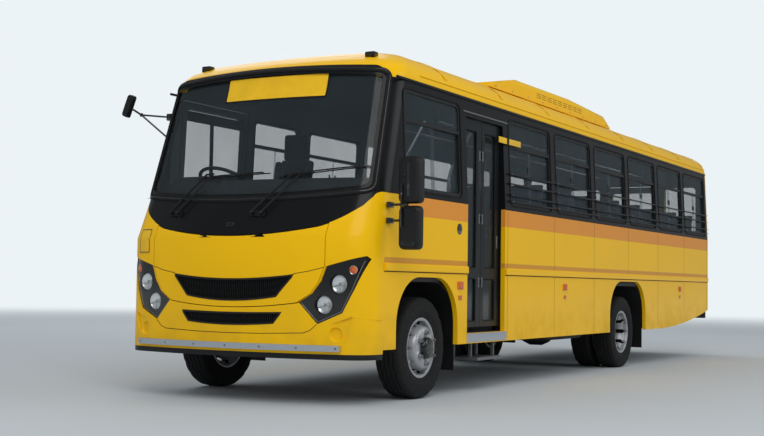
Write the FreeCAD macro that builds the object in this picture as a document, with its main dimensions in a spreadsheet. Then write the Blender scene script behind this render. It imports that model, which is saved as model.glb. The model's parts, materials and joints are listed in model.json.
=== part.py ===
import FreeCAD, Part
import math
import os
import Sketcher
from FreeCAD import Placement, Rotation, Vector

doc = FreeCAD.newDocument("SchoolBus")
sheet = doc.addObject("Spreadsheet::Sheet", "Dims")

# Driving dimensions in millimetres and degrees. Places along the bus are measured from the front axle.
dimensions = [
    ("frontOverhang", 1200, "front axle to the face of the front lip"),
    ("wheelbase", 4950, "front axle to rear axle"),
    ("rearOverhang", 3680, "rear axle to the face of the rear bumper"),
    ("bodyHalfWidth", 1125, "half the width over the lower side panels"),
    ("gutterHalfWidth", 1085, "half the width at the roof gutter"),
    ("wall", 40, "thickness of the body panels"),
    ("frontFaceY", -1163, "middle of the front panel"),
    ("frontFaceRadius", 3775, "plan radius of the front panel"),
    ("frontCornerRadius", 250, "plan radius of the front corners"),
    ("rearFaceY", 8595, "middle of the rear panel"),
    ("rearFaceRadius", 9000, "plan radius of the rear panel"),
    ("rearCornerRadius", 130, "plan radius of the rear corners"),
    ("skirtHeight", 385, "lowest edge of the body"),
    ("sideSkirtHeight", 415, "lower edge of the side panels"),
    ("tailSkirtHeight", 663, "lower edge of the side panels at the tail"),
    ("tailRiseStart", 6300, "where the skirt starts to rise"),
    ("noseBreakHeight", 1240, "where the front face starts to lean back"),
    ("cowlHeight", 1551, "lower edge of the windscreen"),
    ("cowlSetback", 142, "front face lean at the cowl"),
    ("gutterSetback", 445, "front face lean at the gutter"),
    ("waistHeight", 1585, "joint of the side panels and the window band"),
    ("gutterHeight", 2490, "joint of the window band and the roof"),
    ("roofRise", 360, "gutter to the crown of the roof"),
    ("roofCurve", 2.35, "exponent of the roof's superellipse"),
    ("roofFrontDome", 1800, "length over which the roof domes at the front"),
    ("roofRearDome", 900, "length over which the roof domes at the rear"),
    ("lowerSeamY", -780, "joint of the front cap and the side panels"),
    ("upperSeamY", -560, "joint of the windscreen surround and the window band"),
    ("tailSeamY", 8400, "joint of the side panels and the rear wall"),
    ("tyreRadius", 402, "outer radius of a tyre"),
    ("tyreWidth", 236, "section width of a tyre"),
    ("rimRadius", 238, "radius of the rim's lip"),
    ("rimWidth", 190, "width of the rim over its lips"),
    ("boltFaceRadius", 166, "radius of the raised bolt face"),
    ("hubRadius", 84, "radius of the hub cap"),
    ("handHoleRadius", 24, "radius of a hand hole in the disc"),
    ("handHoleCircle", 196, "radius of the circle of hand holes"),
    ("handHoleCount", 10, "hand holes in a disc"),
    ("studCircle", 122, "radius of the wheel nuts' circle"),
    ("frontTrackHalf", 940, "centre of a front wheel from the centre line"),
    ("rearTrackHalf", 810, "middle of a rear pair from the centre line"),
    ("dualSpacing", 268, "distance between the two wheels of a pair"),
    ("frontArchY", -50, "middle of the front arch"),
    ("frontArchHalf", 530, "half the length of the front arch"),
    ("frontArchTop", 960, "top of the front arch"),
    ("rearArchHalf", 640, "half the length of the rear arch"),
    ("rearArchTop", 974, "top of the rear arch"),
    ("archRadius", 380, "radius of the arches' upper corners"),
    ("kingpinHalf", 790, "kingpin from the centre line"),
    ("kingpinRadius", 24, "radius of a kingpin"),
    ("stubRadius", 38, "radius of the front stub axles"),
    ("runningGap", 0.08, "radial clearance of a turning fit"),
    ("railHalf", 390, "outside of a chassis rail from the centre line"),
    ("railWidth", 70, "flange width of a chassis rail"),
    ("railDepth", 210, "depth of a chassis rail"),
    ("railTop", 800, "upper face of the chassis rails"),
    ("railWeb", 8, "thickness of a chassis rail"),
    ("railFrontY", -1036, "front end of the rails"),
    ("railRearY", 8380, "rear end of the rails"),
    ("floorTop", 980, "upper face of the cabin floor"),
    ("floorThickness", 50, "thickness of the cabin floor"),
    ("doorFrontY", 660, "front edge of the entrance"),
    ("doorRearY", 1440, "rear edge of the entrance"),
    ("doorSill", 500, "lower edge of the entrance"),
    ("doorHeader", 2335, "upper edge of the entrance"),
    ("doorThickness", 34, "thickness of a door leaf"),
    ("doorRecess", 62, "outer face of the leaves behind the side panel"),
    ("doorGap", 7, "gap between a door and its frame"),
    ("stepDepth", 443, "depth of the first step"),
    ("driverDoorFrontY", -440, "front edge of the driver's door"),
    ("driverDoorRearY", 520, "rear edge of the driver's door"),
    ("driverDoorSill", 1010, "lower edge of the driver's door"),
    ("exitHalfWidth", 380, "half the width of the rear door"),
    ("exitSill", 960, "lower edge of the rear door"),
    ("exitHeader", 2360, "upper edge of the rear door"),
    ("windowSill", 1630, "lower edge of the side windows"),
    ("windowHead", 2415, "upper edge of the side windows"),
    ("windowRail", 2170, "middle of the windows' transom"),
    ("bayStartY", 1566, "front edge of the first window bay"),
    ("bayPitch", 1146, "distance between the window bays"),
    ("bayGlass", 1010, "length of a window opening"),
    ("bayCount", 6, "window bays behind the entrance"),
    ("windowCorner", 45, "corner radius of a window opening"),
    ("frameWidth", 30, "width of a window frame"),
    ("glassThickness", 5, "thickness of the panes"),
    ("guardRadius", 8, "radius of a window guard bar"),
    ("guardStandoff", 26, "guard bar's middle in front of the panel"),
    ("flapTopHalf", 800, "half the width of the front flap at its top"),
    ("flapGap", 6, "gap round the front flap"),
    ("flapHingeX", 250, "hinges of the front flap from the centre line"),
    ("seatPitch", 770, "distance between the rows of seats"),
    ("seatRows", 8, "rows of passenger seats"),
    ("seatFrontY", 2010, "front edge of the first row's cushions"),
    ("mirrorOutX", 1417, "outer edge of a mirror head"),
    ("mirrorWidth", 190, "width of a mirror head"),
    ("podHalf", 760, "half the width of the roof unit"),
    ("podFrontY", 1860, "front edge of the roof unit"),
    ("podLength", 3500, "length of the roof unit"),
    ("podTop", 2975, "upper face of the roof unit"),
    ("towBore", 21, "radius of a towing lug's bore"),
    ("towLugThickness", 28, "thickness of a towing lug"),
]
for row, (alias, value, meaning) in enumerate(dimensions, start=1):
    sheet.set("A%d" % row, meaning)
    sheet.set("B%d" % row, str(value))
    sheet.setAlias("B%d" % row, alias)
doc.recompute()

overallLength = "(Dims.frontOverhang + Dims.wheelbase + Dims.rearOverhang)"
frontAxleY = "Dims.frontOverhang - " + overallLength + " / 2"
nodes = []


def size(alias):
    return float(sheet.get(alias))


def bind(item, expressions):
    for path, expression in expressions.items():
        item.setExpression(path, expression)
    return item


def node(label, item):
    """Name a finished piece and shift it from the front axle's frame to the middle of the bus."""
    item.Label = label
    item.setExpression("Placement.Base.y", frontAxleY)
    nodes.append(item)
    return item


def block(name, x, y, z):
    item = doc.addObject("Part::Box", name)
    return bind(item, {
        "Length": "(%s) - (%s)" % (x[1], x[0]),
        "Width": "(%s) - (%s)" % (y[1], y[0]),
        "Height": "(%s) - (%s)" % (z[1], z[0]),
        "Placement.Base.x": x[0], "Placement.Base.y": y[0], "Placement.Base.z": z[0]})


def rod(name, radius, length, start, axis):
    """A cylinder that starts at a point and runs along +X, +Y or +Z."""
    item = doc.addObject("Part::Cylinder", name)
    turns = {"x": Rotation(Vector(0, 1, 0), 90), "y": Rotation(Vector(1, 0, 0), -90), "z": Rotation()}
    item.Placement = Placement(Vector(), turns[axis])
    return bind(item, {"Radius": radius, "Height": length, "Placement.Base.x": start[0],
                       "Placement.Base.y": start[1], "Placement.Base.z": start[2]})


def cut(name, base, tools):
    item = doc.addObject("Part::Cut", name)
    item.Base = base
    item.Tool = tools[0] if len(tools) == 1 else fuse(name + "Tools", tools)
    return item


def fuse(name, parts):
    item = doc.addObject("Part::MultiFuse", name)
    item.Shapes = parts
    return item


def group(name, parts):
    item = doc.addObject("Part::Compound", name)
    item.Links = parts
    return item


def shaped(name, shape):
    item = doc.addObject("Part::Feature", name)
    item.Shape = shape
    return item


def plane(body, role):
    return next(item for item in body.Origin.OriginFeatures if item.Role == role)


def outline(body, name, role, points, circle=None):
    """A closed sketch through points, each coordinate bound to an expression, or a bound circle."""
    sketch = body.newObject("Sketcher::SketchObject", name)
    sketch.AttachmentSupport = (plane(body, role), [""])
    sketch.MapMode = "FlatFace"
    if circle:
        sketch.addGeometry(Part.Circle(Vector(10, 10, 0), Vector(0, 0, 1), 5))
        rules = [("DistanceX", (0, 3), circle[0]), ("DistanceY", (0, 3), circle[1])]
        index = sketch.addConstraint(Sketcher.Constraint("Radius", 0, 5))
        sketch.setExpression("Constraints[%d]" % index, circle[2])
    else:
        values = [tuple(sheetValue(part) for part in point) for point in points]
        corners = [Vector(x, y, 0) for x, y in values]
        for start, end in zip(corners, corners[1:] + corners[:1]):
            sketch.addGeometry(Part.LineSegment(start, end))
        for place in range(len(points)):
            sketch.addConstraint(Sketcher.Constraint("Coincident", place, 2, (place + 1) % len(points), 1))
        rules = [(kind, (place, 1), point[axis]) for place, point in enumerate(points)
                 for axis, kind in enumerate(("DistanceX", "DistanceY"))]
    for kind, (geometry, vertex), expression in rules:
        start = sheetValue(expression)
        index = sketch.addConstraint(Sketcher.Constraint(kind, -1, 1, geometry, vertex, start))
        sketch.setExpression("Constraints[%d]" % index, expression)
    return sketch


def sheetValue(expression):
    return float(sheet.evalExpression(expression))


def revolved(label, points):
    """A body turned about the X axis from a half section of (along the axis, radius) points."""
    body = doc.addObject("PartDesign::Body", label)
    sketch = outline(body, label + "Section", "XY_Plane", points)
    turn = body.newObject("PartDesign::Revolution", label + "Turn")
    turn.Profile = sketch
    turn.ReferenceAxis = (sketch, ["H_Axis"])
    turn.Angle = 360
    return body


def padded(label, role, points, length, midplane=True):
    body = doc.addObject("PartDesign::Body", label)
    sketch = outline(body, label + "Section", role, points)
    pad = body.newObject("PartDesign::Pad", label + "Pad")
    pad.Profile = sketch
    pad.Midplane = midplane
    pad.setExpression("Length", length)
    return body


# The body shell: plan sections at rising heights, lofted outside and inside, then split at the panel joints.
def bodySection(height, inset):
    """Half width, front middle, rear middle and corner radii of the body at one height."""
    cowl = size("cowlHeight")
    gutter = size("gutterHeight")
    if height <= size("waistHeight"):
        half = size("bodyHalfWidth")
    else:
        share = min(1, (height - size("waistHeight")) / (gutter - size("waistHeight")))
        half = size("bodyHalfWidth") + share * (size("gutterHalfWidth") - size("bodyHalfWidth"))
    if height <= size("noseBreakHeight"):
        lean = 0
    elif height <= cowl:
        lean = size("cowlSetback") * (height - size("noseBreakHeight")) / (cowl - size("noseBreakHeight"))
    else:
        share = min(1, (height - cowl) / (gutter - cowl))
        lean = size("cowlSetback") + share * (size("gutterSetback") - size("cowlSetback"))
    front = size("frontFaceY") + lean
    rear = size("rearFaceY")
    rise = max(0, height - gutter) / size("roofRise")
    spread = (1 - rise ** size("roofCurve")) ** (1 / size("roofCurve"))
    front += size("roofFrontDome") * (1 - spread)
    rear -= size("roofRearDome") * (1 - spread)
    half *= spread
    return half - inset, front + inset, rear - inset


def cornerArc(half, middle, faceRadius, cornerRadius, side):
    """Centre of a corner arc that meets the flat side and the bowed face; side is 1 at the front."""
    reach = math.sqrt((faceRadius - cornerRadius) ** 2 - (half - cornerRadius) ** 2)
    faceCentre = middle + side * faceRadius
    centre = Vector(half - cornerRadius, faceCentre - side * reach, 0)
    outward = (centre - Vector(0, faceCentre, 0)).normalize()
    return centre, centre + outward * cornerRadius


def bodyWire(height, inset):
    half, front, rear = bodySection(height, inset)
    frontCorner = min(size("frontCornerRadius") - inset, 0.6 * half)
    rearCorner = min(size("rearCornerRadius") - inset, 0.6 * half)
    frontFace = size("frontFaceRadius") - inset
    rearFace = size("rearFaceRadius") - inset
    low, lowMeet = cornerArc(half, front, frontFace, frontCorner, 1)
    high, highMeet = cornerArc(half, rear, rearFace, rearCorner, -1)

    def flip(point):
        return Vector(-point.x, point.y, 0)

    def arc(first, second, centre, radius):
        middle = (first - centre).normalize() + (second - centre).normalize()
        return Part.Arc(first, centre + middle.normalize() * radius, second).toShape()

    lowSide = Vector(half, low.y, 0)
    highSide = Vector(half, high.y, 0)
    edges = [
        Part.Arc(flip(lowMeet), Vector(0, front, 0), lowMeet).toShape(),
        arc(lowMeet, lowSide, low, frontCorner),
        Part.LineSegment(lowSide, highSide).toShape(),
        arc(highSide, highMeet, high, rearCorner),
        Part.Arc(highMeet, Vector(0, rear, 0), flip(highMeet)).toShape(),
        arc(flip(highMeet), flip(highSide), flip(high), rearCorner),
        Part.LineSegment(flip(highSide), flip(lowSide)).toShape(),
        arc(flip(lowSide), flip(lowMeet), flip(low), frontCorner),
    ]
    wire = Part.Wire(edges)
    wire.translate(Vector(0, 0, height))
    return wire


def bodySolid(inset, bottom=None, top=None):
    """The closed outer form of the body, or a form inside it, between two of its levels."""
    rises = [0, 0.22, 0.42, 0.6, 0.75, 0.87, 0.95, 0.99]
    heights = [size("skirtHeight"), size("noseBreakHeight"), size("cowlHeight"), size("waistHeight")]
    heights += [size("gutterHeight") + (size("roofRise") * rise) for rise in rises]
    bottom = heights[0] if bottom is None else bottom
    top = heights[-1] if top is None else top
    heights = [bottom] + [height for height in heights if bottom + 1 < height < top - 1] + [top]
    wires = []
    for height in heights:
        wire = bodyWire(height, inset)
        if height > size("gutterHeight"):
            wire.translate(Vector(0, 0, -inset * (height - size("gutterHeight")) / size("roofRise")))
        wires.append(wire)
    return Part.makeLoft(wires, True, True)


def bodyLayer(outside, inside, bottom=None, top=None):
    """A layer of the body between two depths below its outer surface."""
    lowest = size("skirtHeight") if bottom is None else bottom
    inner = bodySolid(inside, lowest - 100 if bottom is None else lowest, top)
    return bodySolid(outside, bottom, top).cut(inner)


def slab(x, y, z):
    """A plain box from low and high values."""
    return Part.makeBox(x[1] - x[0], y[1] - y[0], z[1] - z[0], Vector(x[0], y[0], z[0]))


def roundedWindow(x, y, z, radius):
    """A box along X whose four edges along X are rounded."""
    box = slab(x, y, z)
    edges = [edge for edge in box.Edges if abs(edge.tangentAt(edge.FirstParameter).x) > 0.9]
    return box.makeFillet(radius, edges)


def roundedPort(x, y, z, radius):
    """A box along Y whose four edges along Y are rounded."""
    box = slab(x, y, z)
    edges = [edge for edge in box.Edges if abs(edge.tangentAt(edge.FirstParameter).y) > 0.9]
    return box.makeFillet(radius, edges)


def frontPrism(edges, y):
    """A solid along Y from a closed outline drawn in the front view."""
    face = Part.Face(Part.Wire(edges))
    face.translate(Vector(0, y[0], 0))
    return face.extrude(Vector(0, y[1] - y[0], 0))


def line(first, second):
    return Part.LineSegment(Vector(first[0], 0, first[1]), Vector(second[0], 0, second[1])).toShape()


def bow(first, middle, second):
    points = [Vector(x, 0, z) for x, z in (first, middle, second)]
    return Part.Arc(*points).toShape()


wall = size("wall")
halfBody = size("bodyHalfWidth")
waist = size("waistHeight")
gutter = size("gutterHeight")
farX = halfBody + 200
farFront = size("frontFaceY") - 200
farRear = size("rearFaceY") + 200
farTop = gutter + size("roofRise") + 200

skin = bodyLayer(0, wall)

# The black surround's edge in the front view: a low bow below the wipers and an arch over the windscreen.
surroundLowMiddle = 1254
surroundLowSide = (1014, 1479)
surroundShoulder = (1060, 1549)
surroundCorner = (1100, waist)
surroundTopMiddle = 2612
surroundTopSide = (1010, 2578)
glassInset = 30
glassBottom = 1528
glassCorner = 60


def surroundOutline():
    lowMiddle = (0, surroundLowMiddle)
    left = (-surroundLowSide[0], surroundLowSide[1])
    outLeft = (-halfBody - 60, waist)
    outRight = (halfBody + 60, waist)
    topRight = (halfBody + 60, gutter)
    topLeft = (-halfBody - 60, gutter)
    midLeft = (-722, 1322)
    midRight = (722, 1322)
    return [
        bow(midLeft, lowMiddle, midRight),
        bow(midRight, (905, 1400), surroundLowSide),
        line(surroundLowSide, surroundShoulder),
        bow(surroundShoulder, (1077, 1577), surroundCorner),
        line(surroundCorner, outRight),
        line(outRight, topRight),
        line(topRight, surroundTopSide),
        bow(surroundTopSide, (0, surroundTopMiddle), (-surroundTopSide[0], surroundTopSide[1])),
        line((-surroundTopSide[0], surroundTopSide[1]), topLeft),
        line(topLeft, outLeft),
        line(outLeft, (-surroundCorner[0], waist)),
        bow((-surroundCorner[0], waist), (-1077, 1577), (-surroundShoulder[0], surroundShoulder[1])),
        line((-surroundShoulder[0], surroundShoulder[1]), left),
        bow(left, (-905, 1400), midLeft),
    ]


def windscreenOutline(inset):
    """The windscreen in the front view, its top arched like the surround's."""
    low = (1062 - inset, glassBottom + glassCorner)
    high = (1022 - inset, surroundTopMiddle - glassInset - 40)
    return [
        bow((-low[0], low[1]), (0, glassBottom + inset), (low[0], low[1])),
        line(low, high),
        bow(high, (0, surroundTopMiddle - glassInset - inset), (-high[0], high[1])),
        line((-high[0], high[1]), (-low[0], low[1])),
    ]


frontRange = (farFront, 400)
frontZone = slab((-farX, farX), (farFront, size("lowerSeamY")), (0, waist)).fuse(
    slab((-farX, farX), (farFront, size("upperSeamY")), (waist, farTop)))
surroundPrism = frontPrism(surroundOutline(), frontRange)
windscreenPrism = frontPrism(windscreenOutline(0), frontRange)
surround = skin.common(frontZone).common(surroundPrism).cut(windscreenPrism)

glassDepth = 12
glassSkin = bodyLayer(glassDepth, glassDepth + size("glassThickness"), size("cowlHeight"))
windscreen = glassSkin.common(frontZone).common(frontPrism(windscreenOutline(0.4), frontRange))
node("windscreen", shaped("Windscreen", windscreen))

# The yellow front cap below the surround: grille, lamp and flap openings.
upperGrille = {"half": 560, "top": 966, "middle": 930, "bottomHalf": 415, "bottom": 794, "bottomMiddle": 760}
lowerGrille = {"half": 465, "top": 686, "middle": 678, "bottomHalf": 398, "bottom": 597, "bottomMiddle": 579}


def grilleOutline(values, inset):
    half = values["half"] - inset
    low = values["bottomHalf"] - inset
    top = values["top"] - inset
    bottom = values["bottom"] + inset
    return [
        bow((-half, top), (0, values["middle"] - inset), (half, top)),
        line((half, top), (low, bottom)),
        bow((low, bottom), (0, values["bottomMiddle"] + inset), (-low, bottom)),
        line((-low, bottom), (-half, top)),
    ]


lampOutlinePoints = [(1098, 1082), (1078, 1104), (806, 1026), (765, 915), (700, 826), (596, 757),
                     (744, 600), (934, 686), (1010, 850)]


def lampOutline(side, inset):
    """The headlamp's slanted outline; side is 1 on the left of the bus."""
    middle = (870, 860)
    points = []
    for x, z in lampOutlinePoints:
        reach = math.hypot(x - middle[0], z - middle[1])
        share = (reach - inset) / reach
        points.append((side * (middle[0] + (x - middle[0]) * share), middle[1] + (z - middle[1]) * share))
    return [line(first, second) for first, second in zip(points, points[1:] + points[:1])]


def flapOutline(inset):
    """The front flap: straight sides, then along the headlamps, and a low bow under the upper grille."""
    gap = inset
    topHalf = size("flapTopHalf") - gap
    right = [(topHalf, surroundLowSide[1]), (topHalf, 1030), (755 - gap, 912), (690 - gap, 822),
             (588 - gap, 752 + gap)]
    left = [(-x, z) for x, z in reversed(right)]
    edges = [line(first, second) for first, second in zip(right, right[1:])]
    edges.append(bow(right[-1], (0, 712 + gap), left[0]))
    edges += [line(first, second) for first, second in zip(left, left[1:])]
    edges.append(line(left[-1], right[0]))
    return edges


noseRange = (farFront, size("lowerSeamY"))
lampCuts = [frontPrism(lampOutline(side, 0), noseRange) for side in (1, -1)]
flapCut = frontPrism(flapOutline(0), noseRange)
lowerGrilleCut = frontPrism(grilleOutline(lowerGrille, 0), noseRange)
upperGrilleCut = frontPrism(grilleOutline(upperGrille, 0), noseRange)
frontBelow = skin.common(frontZone).cut(surroundPrism)
frontCap = frontBelow.common(slab((-farX, farX), (farFront, 0), (0, waist)))
frontCap = frontCap.cut(flapCut).cut(lowerGrilleCut)
for lampCut in lampCuts:
    frontCap = frontCap.cut(lampCut)
node("front_cap", shaped("FrontCap", frontCap))

flapTop = surroundPrism.translated(Vector(0, 0, -size("flapGap")))
flap = skin.common(frontPrism(flapOutline(size("flapGap")), noseRange)).cut(upperGrilleCut).cut(flapTop)

# The flap's two small hinges in the seam under the surround.
flapAxis = (-1158, 1259)
flapHingeX = size("flapHingeX")
flapPinRadius = 2.5
flapBarrelRadius = 5
flapLugLength = 20


def onFlapAxis(side, radius, start, end):
    """A cylinder on the flap's axis between two distances from its hinge."""
    base = Vector(side * (flapHingeX + start), *flapAxis)
    return Part.makeCylinder(radius, end - start, base, Vector(side, 0, 0))


def flapArm(side, start, end, y, z):
    """A hinge arm by the flap's axis; y and z are measured from the axis."""
    x = sorted((side * (flapHingeX + start), side * (flapHingeX + end)))
    return slab(x, (flapAxis[0] + y[0], flapAxis[0] + y[1]), (flapAxis[1] + z[0], flapAxis[1] + z[1]))


for side in (1, -1):
    flap = flap.cut(onFlapAxis(side, flapBarrelRadius + 1.5, -0.5, flapLugLength + 2))
    flap = flap.fuse(onFlapAxis(side, flapBarrelRadius, -flapLugLength, -0.3))
    flap = flap.fuse(onFlapAxis(side, flapPinRadius, -10, 16))
    flap = flap.fuse(flapArm(side, -flapLugLength, -0.3, (-2, 23), (-11, -1)))
    surround = surround.fuse(onFlapAxis(side, flapBarrelRadius, 0.3, flapLugLength))
    surround = surround.fuse(flapArm(side, 0.3, flapLugLength, (-2, 36), (1, 12)))
    surround = surround.cut(onFlapAxis(side, flapPinRadius + size("runningGap"), -0.5, flapLugLength + 1))
node("windscreen_surround", shaped("WindscreenSurround", surround))
node("front_flap", shaped("FrontFlap", flap))


def noseLayer(outside, inside):
    """A layer of the front panel below the cowl."""
    return bodyLayer(outside, inside, size("skirtHeight"), size("noseBreakHeight")).common(
        slab((-farX, farX), (farFront, 0), (0, waist)))


def louvres(values, count, depth):
    """A dark grille: a back plate with bowed blades across the opening."""
    form = frontPrism(grilleOutline(values, 0.3), noseRange)
    grille = noseLayer(depth, depth + 12).common(form)
    blades = noseLayer(10, depth + 2).common(form)
    pitch = (values["top"] - values["bottomMiddle"]) / (count + 1)
    for place in range(1, count + 1):
        height = values["bottomMiddle"] + place * pitch
        bar = blades.common(slab((-farX, farX), noseRange, (height - 5, height + 5)))
        grille = grille.fuse(bar)
    return grille


node("upper_grille", shaped("UpperGrille", louvres(upperGrille, 6, 28)))
node("lower_grille", shaped("LowerGrille", louvres(lowerGrille, 3, 28)))

# Headlamp housings with two round lamps and a small side lamp sunk into each.
lampFaceDepth = 14
lampBowlDepth = 52
lampPlaces = [((895, 896), 70), ((786, 743), 70), ((1000, 1001), 34)]
lampLayer = noseLayer(lampFaceDepth, wall + 24)
bowlLayer = noseLayer(lampFaceDepth - 1, lampBowlDepth)
lensLayer = noseLayer(lampFaceDepth + 6, lampBowlDepth)
housings = []
lenses = []
for side in (1, -1):
    housing = lampLayer.common(frontPrism(lampOutline(side, 0.3), noseRange))
    for (x, z), radius in lampPlaces:
        start = Vector(side * x, farFront, z)
        bore = Part.makeCylinder(radius, 600, start, Vector(0, 1, 0))
        housing = housing.cut(bore.common(bowlLayer))
        plug = Part.makeCylinder(radius - 0.3, 600, start, Vector(0, 1, 0))
        lenses.append(plug.common(lensLayer))
    housings.append(housing)
node("headlamp_housings", shaped("HeadlampHousings", Part.makeCompound(housings)))
node("headlamp_lenses", shaped("HeadlampLenses", Part.makeCompound(lenses)))

# The silver strip and black lip under the front cap.
stripProud = size("frontFaceY") + size("frontOverhang")
strip = bodyLayer(-stripProud, -0.3, 406, 450).common(slab((-930, 930), (farFront, -900), (0, waist)))
lip = bodyLayer(2, 32, 345, size("skirtHeight") - 0.3).common(
    slab((-farX, farX), (farFront, size("lowerSeamY")), (0, waist)))
node("front_bumper", shaped("FrontBumper", Part.makeCompound([strip, lip])))

# The roof, closed down to the surround's arch at the front.
aboveGutter = slab((-farX, farX), (farFront, farRear), (gutter, farTop))
roofShell = skin.common(aboveGutter).cut(skin.common(frontZone).common(surroundPrism))
roofShell = roofShell.cut(frontPrism(surroundOutline(), (farFront, size("upperSeamY"))))
node("roof", shaped("Roof", roofShell))


# The side walls: yellow panels below the waist and the window band above it.
def skirtCutter():
    """What is cut away below the side panels' lower edge, which rises behind the rear wheels."""
    low = size("sideSkirtHeight")
    start = size("tailRiseStart")
    end = farRear
    high = size("tailSkirtHeight") + (end - size("rearFaceY")) * 0.1
    front = size("lowerSeamY") - 5
    middle = Vector(0, (start + end) / 2, low + (high - low) * 0.30)
    rise = Part.Arc(Vector(0, start, low), middle, Vector(0, end, high)).toShape()
    corners = [Vector(0, end, high), Vector(0, end, 0), Vector(0, front, 0), Vector(0, front, low),
               Vector(0, start, low)]
    face = Part.Face(Part.Wire([rise] + Part.makePolygon(corners).Edges))
    face.translate(Vector(-farX, 0, 0))
    return face.extrude(Vector(2 * farX, 0, 0))


def archCutter(middle, half, top, x):
    box = slab(x, (middle - half, middle + half), (-200, top))
    edges = [edge for edge in box.Edges
             if abs(edge.tangentAt(edge.FirstParameter).x) > 0.9 and edge.CenterOfMass.z > 0]
    return box.makeFillet(size("archRadius"), edges)


arches = [archCutter(size("frontArchY"), size("frontArchHalf"), size("frontArchTop"), (-farX, farX)),
          archCutter(size("wheelbase"), size("rearArchHalf"), size("rearArchTop"), (-farX, farX))]
skirt = skirtCutter()
lowerBand = slab((-farX, farX), (size("lowerSeamY"), size("tailSeamY")), (0, waist))
upperBand = slab((-farX, farX), (size("upperSeamY"), size("tailSeamY")), (waist, gutter))
entrance = slab((halfBody - 150, farX), (size("doorFrontY"), size("doorRearY")),
                (size("doorSill"), size("doorHeader")))
driverEntrance = slab((-farX, -halfBody + 150), (size("driverDoorFrontY"), size("driverDoorRearY")),
                      (size("driverDoorSill"), size("windowHead") + 35))
bays = [(size("bayStartY") + index * size("bayPitch"), size("bayStartY") + index * size("bayPitch")
         + size("bayGlass")) for index in range(int(size("bayCount")))]
frontWindow = (-450, 550)


def sideX(side):
    return (halfBody - 150, farX) if side > 0 else (-farX, -halfBody + 150)


def windowRanges(side):
    """The fixed window openings of one side, as ranges along the bus."""
    return bays + ([frontWindow] if side > 0 else [(620, 1400)])


def windowCuts(side, inset):
    head = (size("windowSill") + inset, size("windowHead") - inset)
    return [roundedWindow(sideX(side), (start + inset, end - inset), head, size("windowCorner"))
            for start, end in windowRanges(side)]


sideNames = {1: "left", -1: "right"}
sidePanels = {}
windowBands = []
for side in (1, -1):
    x = (0, farX) if side > 0 else (-farX, 0)
    half = slab(x, (farFront, farRear), (0, farTop))
    panels = skin.common(half).common(lowerBand).cut(skirt).cut(arches[0]).cut(arches[1])
    band = skin.common(half).common(upperBand)
    doorCut = entrance if side > 0 else driverEntrance
    sidePanels[side] = panels.cut(doorCut)
    band = band.cut(doorCut)
    for opening in windowCuts(side, 0):
        band = band.cut(opening)
    windowBands.append(band)
node("window_bands", shaped("WindowBands", Part.makeCompound(windowBands)))

# Window frames with a transom, and two sliding panes below one fixed pane.
frameParts = []
paneParts = []
frameLayer = bodyLayer(4, wall - 4, waist, gutter)
paneOuter = bodyLayer(glassDepth, glassDepth + size("glassThickness"), waist, gutter)
paneInner = bodyLayer(2 * glassDepth, 2 * glassDepth + size("glassThickness"), waist, gutter)
for side in (1, -1):
    holes = windowCuts(side, size("frameWidth"))
    for (start, end), opening, hole in zip(windowRanges(side), windowCuts(side, 0.3), holes):
        rail = slab(sideX(side), (start, end), (size("windowRail") - 15, size("windowRail") + 15))
        ring = frameLayer.common(opening)
        frame = ring.cut(hole.cut(rail))
        frameParts.append(frame)
        upper = hole.cut(slab(sideX(side), (start, end), (0, size("windowRail") + 15)))
        lower = hole.cut(slab(sideX(side), (start, end), (size("windowRail") - 15, farTop)))
        middle = (start + end) / 2
        paneParts.append(paneOuter.common(upper))
        paneParts.append(paneOuter.common(lower).common(slab(sideX(side), (start, middle + 18), (0, farTop))))
        paneParts.append(paneInner.common(lower).common(slab(sideX(side), (middle - 18, end), (0, farTop))))
node("window_frames", shaped("WindowFrames", Part.makeCompound(frameParts)))

# The rear wall with its door and two windows.
rearZone = slab((-farX, farX), (size("tailSeamY"), farRear), (0, gutter))
rearWall = skin.common(rearZone).cut(skirt)
exitCut = slab((-size("exitHalfWidth"), size("exitHalfWidth")), (size("tailSeamY"), farRear),
               (size("exitSill"), size("exitHeader")))
rearWall = rearWall.cut(exitCut)
rearWindowX = (480, 930)
rearWindowTop = 2330


def rearWindow(side, inset):
    """A window's hole beside the rear door, smaller all round by the inset."""
    x = sorted((side * (rearWindowX[0] + inset), side * (rearWindowX[1] - inset)))
    z = (size("windowSill") + inset, rearWindowTop - inset)
    return roundedPort(x, (size("tailSeamY"), farRear), z, 60)


for side in (1, -1):
    rearWall = rearWall.cut(rearWindow(side, 0))
    paneParts.append(glassSkin.common(rearWindow(side, 0.3)))
node("side_glass", shaped("SideGlass", Part.makeCompound(paneParts)))


# Wheels: a steel disc wheel with hub, nuts and drum, and a plain tyre.
def tyre(label):
    half = "Dims.tyreWidth / 2"
    outer = "Dims.tyreRadius"
    bead = "Dims.rimRadius + 0.3"
    points = [("%s - 10" % half, bead), ("%s" % half, "%s + 46" % bead), ("%s" % half, outer + " - 62"),
              ("%s - 12" % half, outer + " - 22"), ("%s - 34" % half, outer + " - 4"), ("0", outer)]
    flipped = [("-(%s)" % x, radius) for x, radius in reversed(points[:-1])]
    inside = [("-(%s) + 28" % half, bead), ("-(%s) + 26" % half, outer + " - 60"),
              ("%s - 26" % half, outer + " - 60"), ("%s - 28" % half, bead)]
    return revolved(label, points + flipped + inside)


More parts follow.
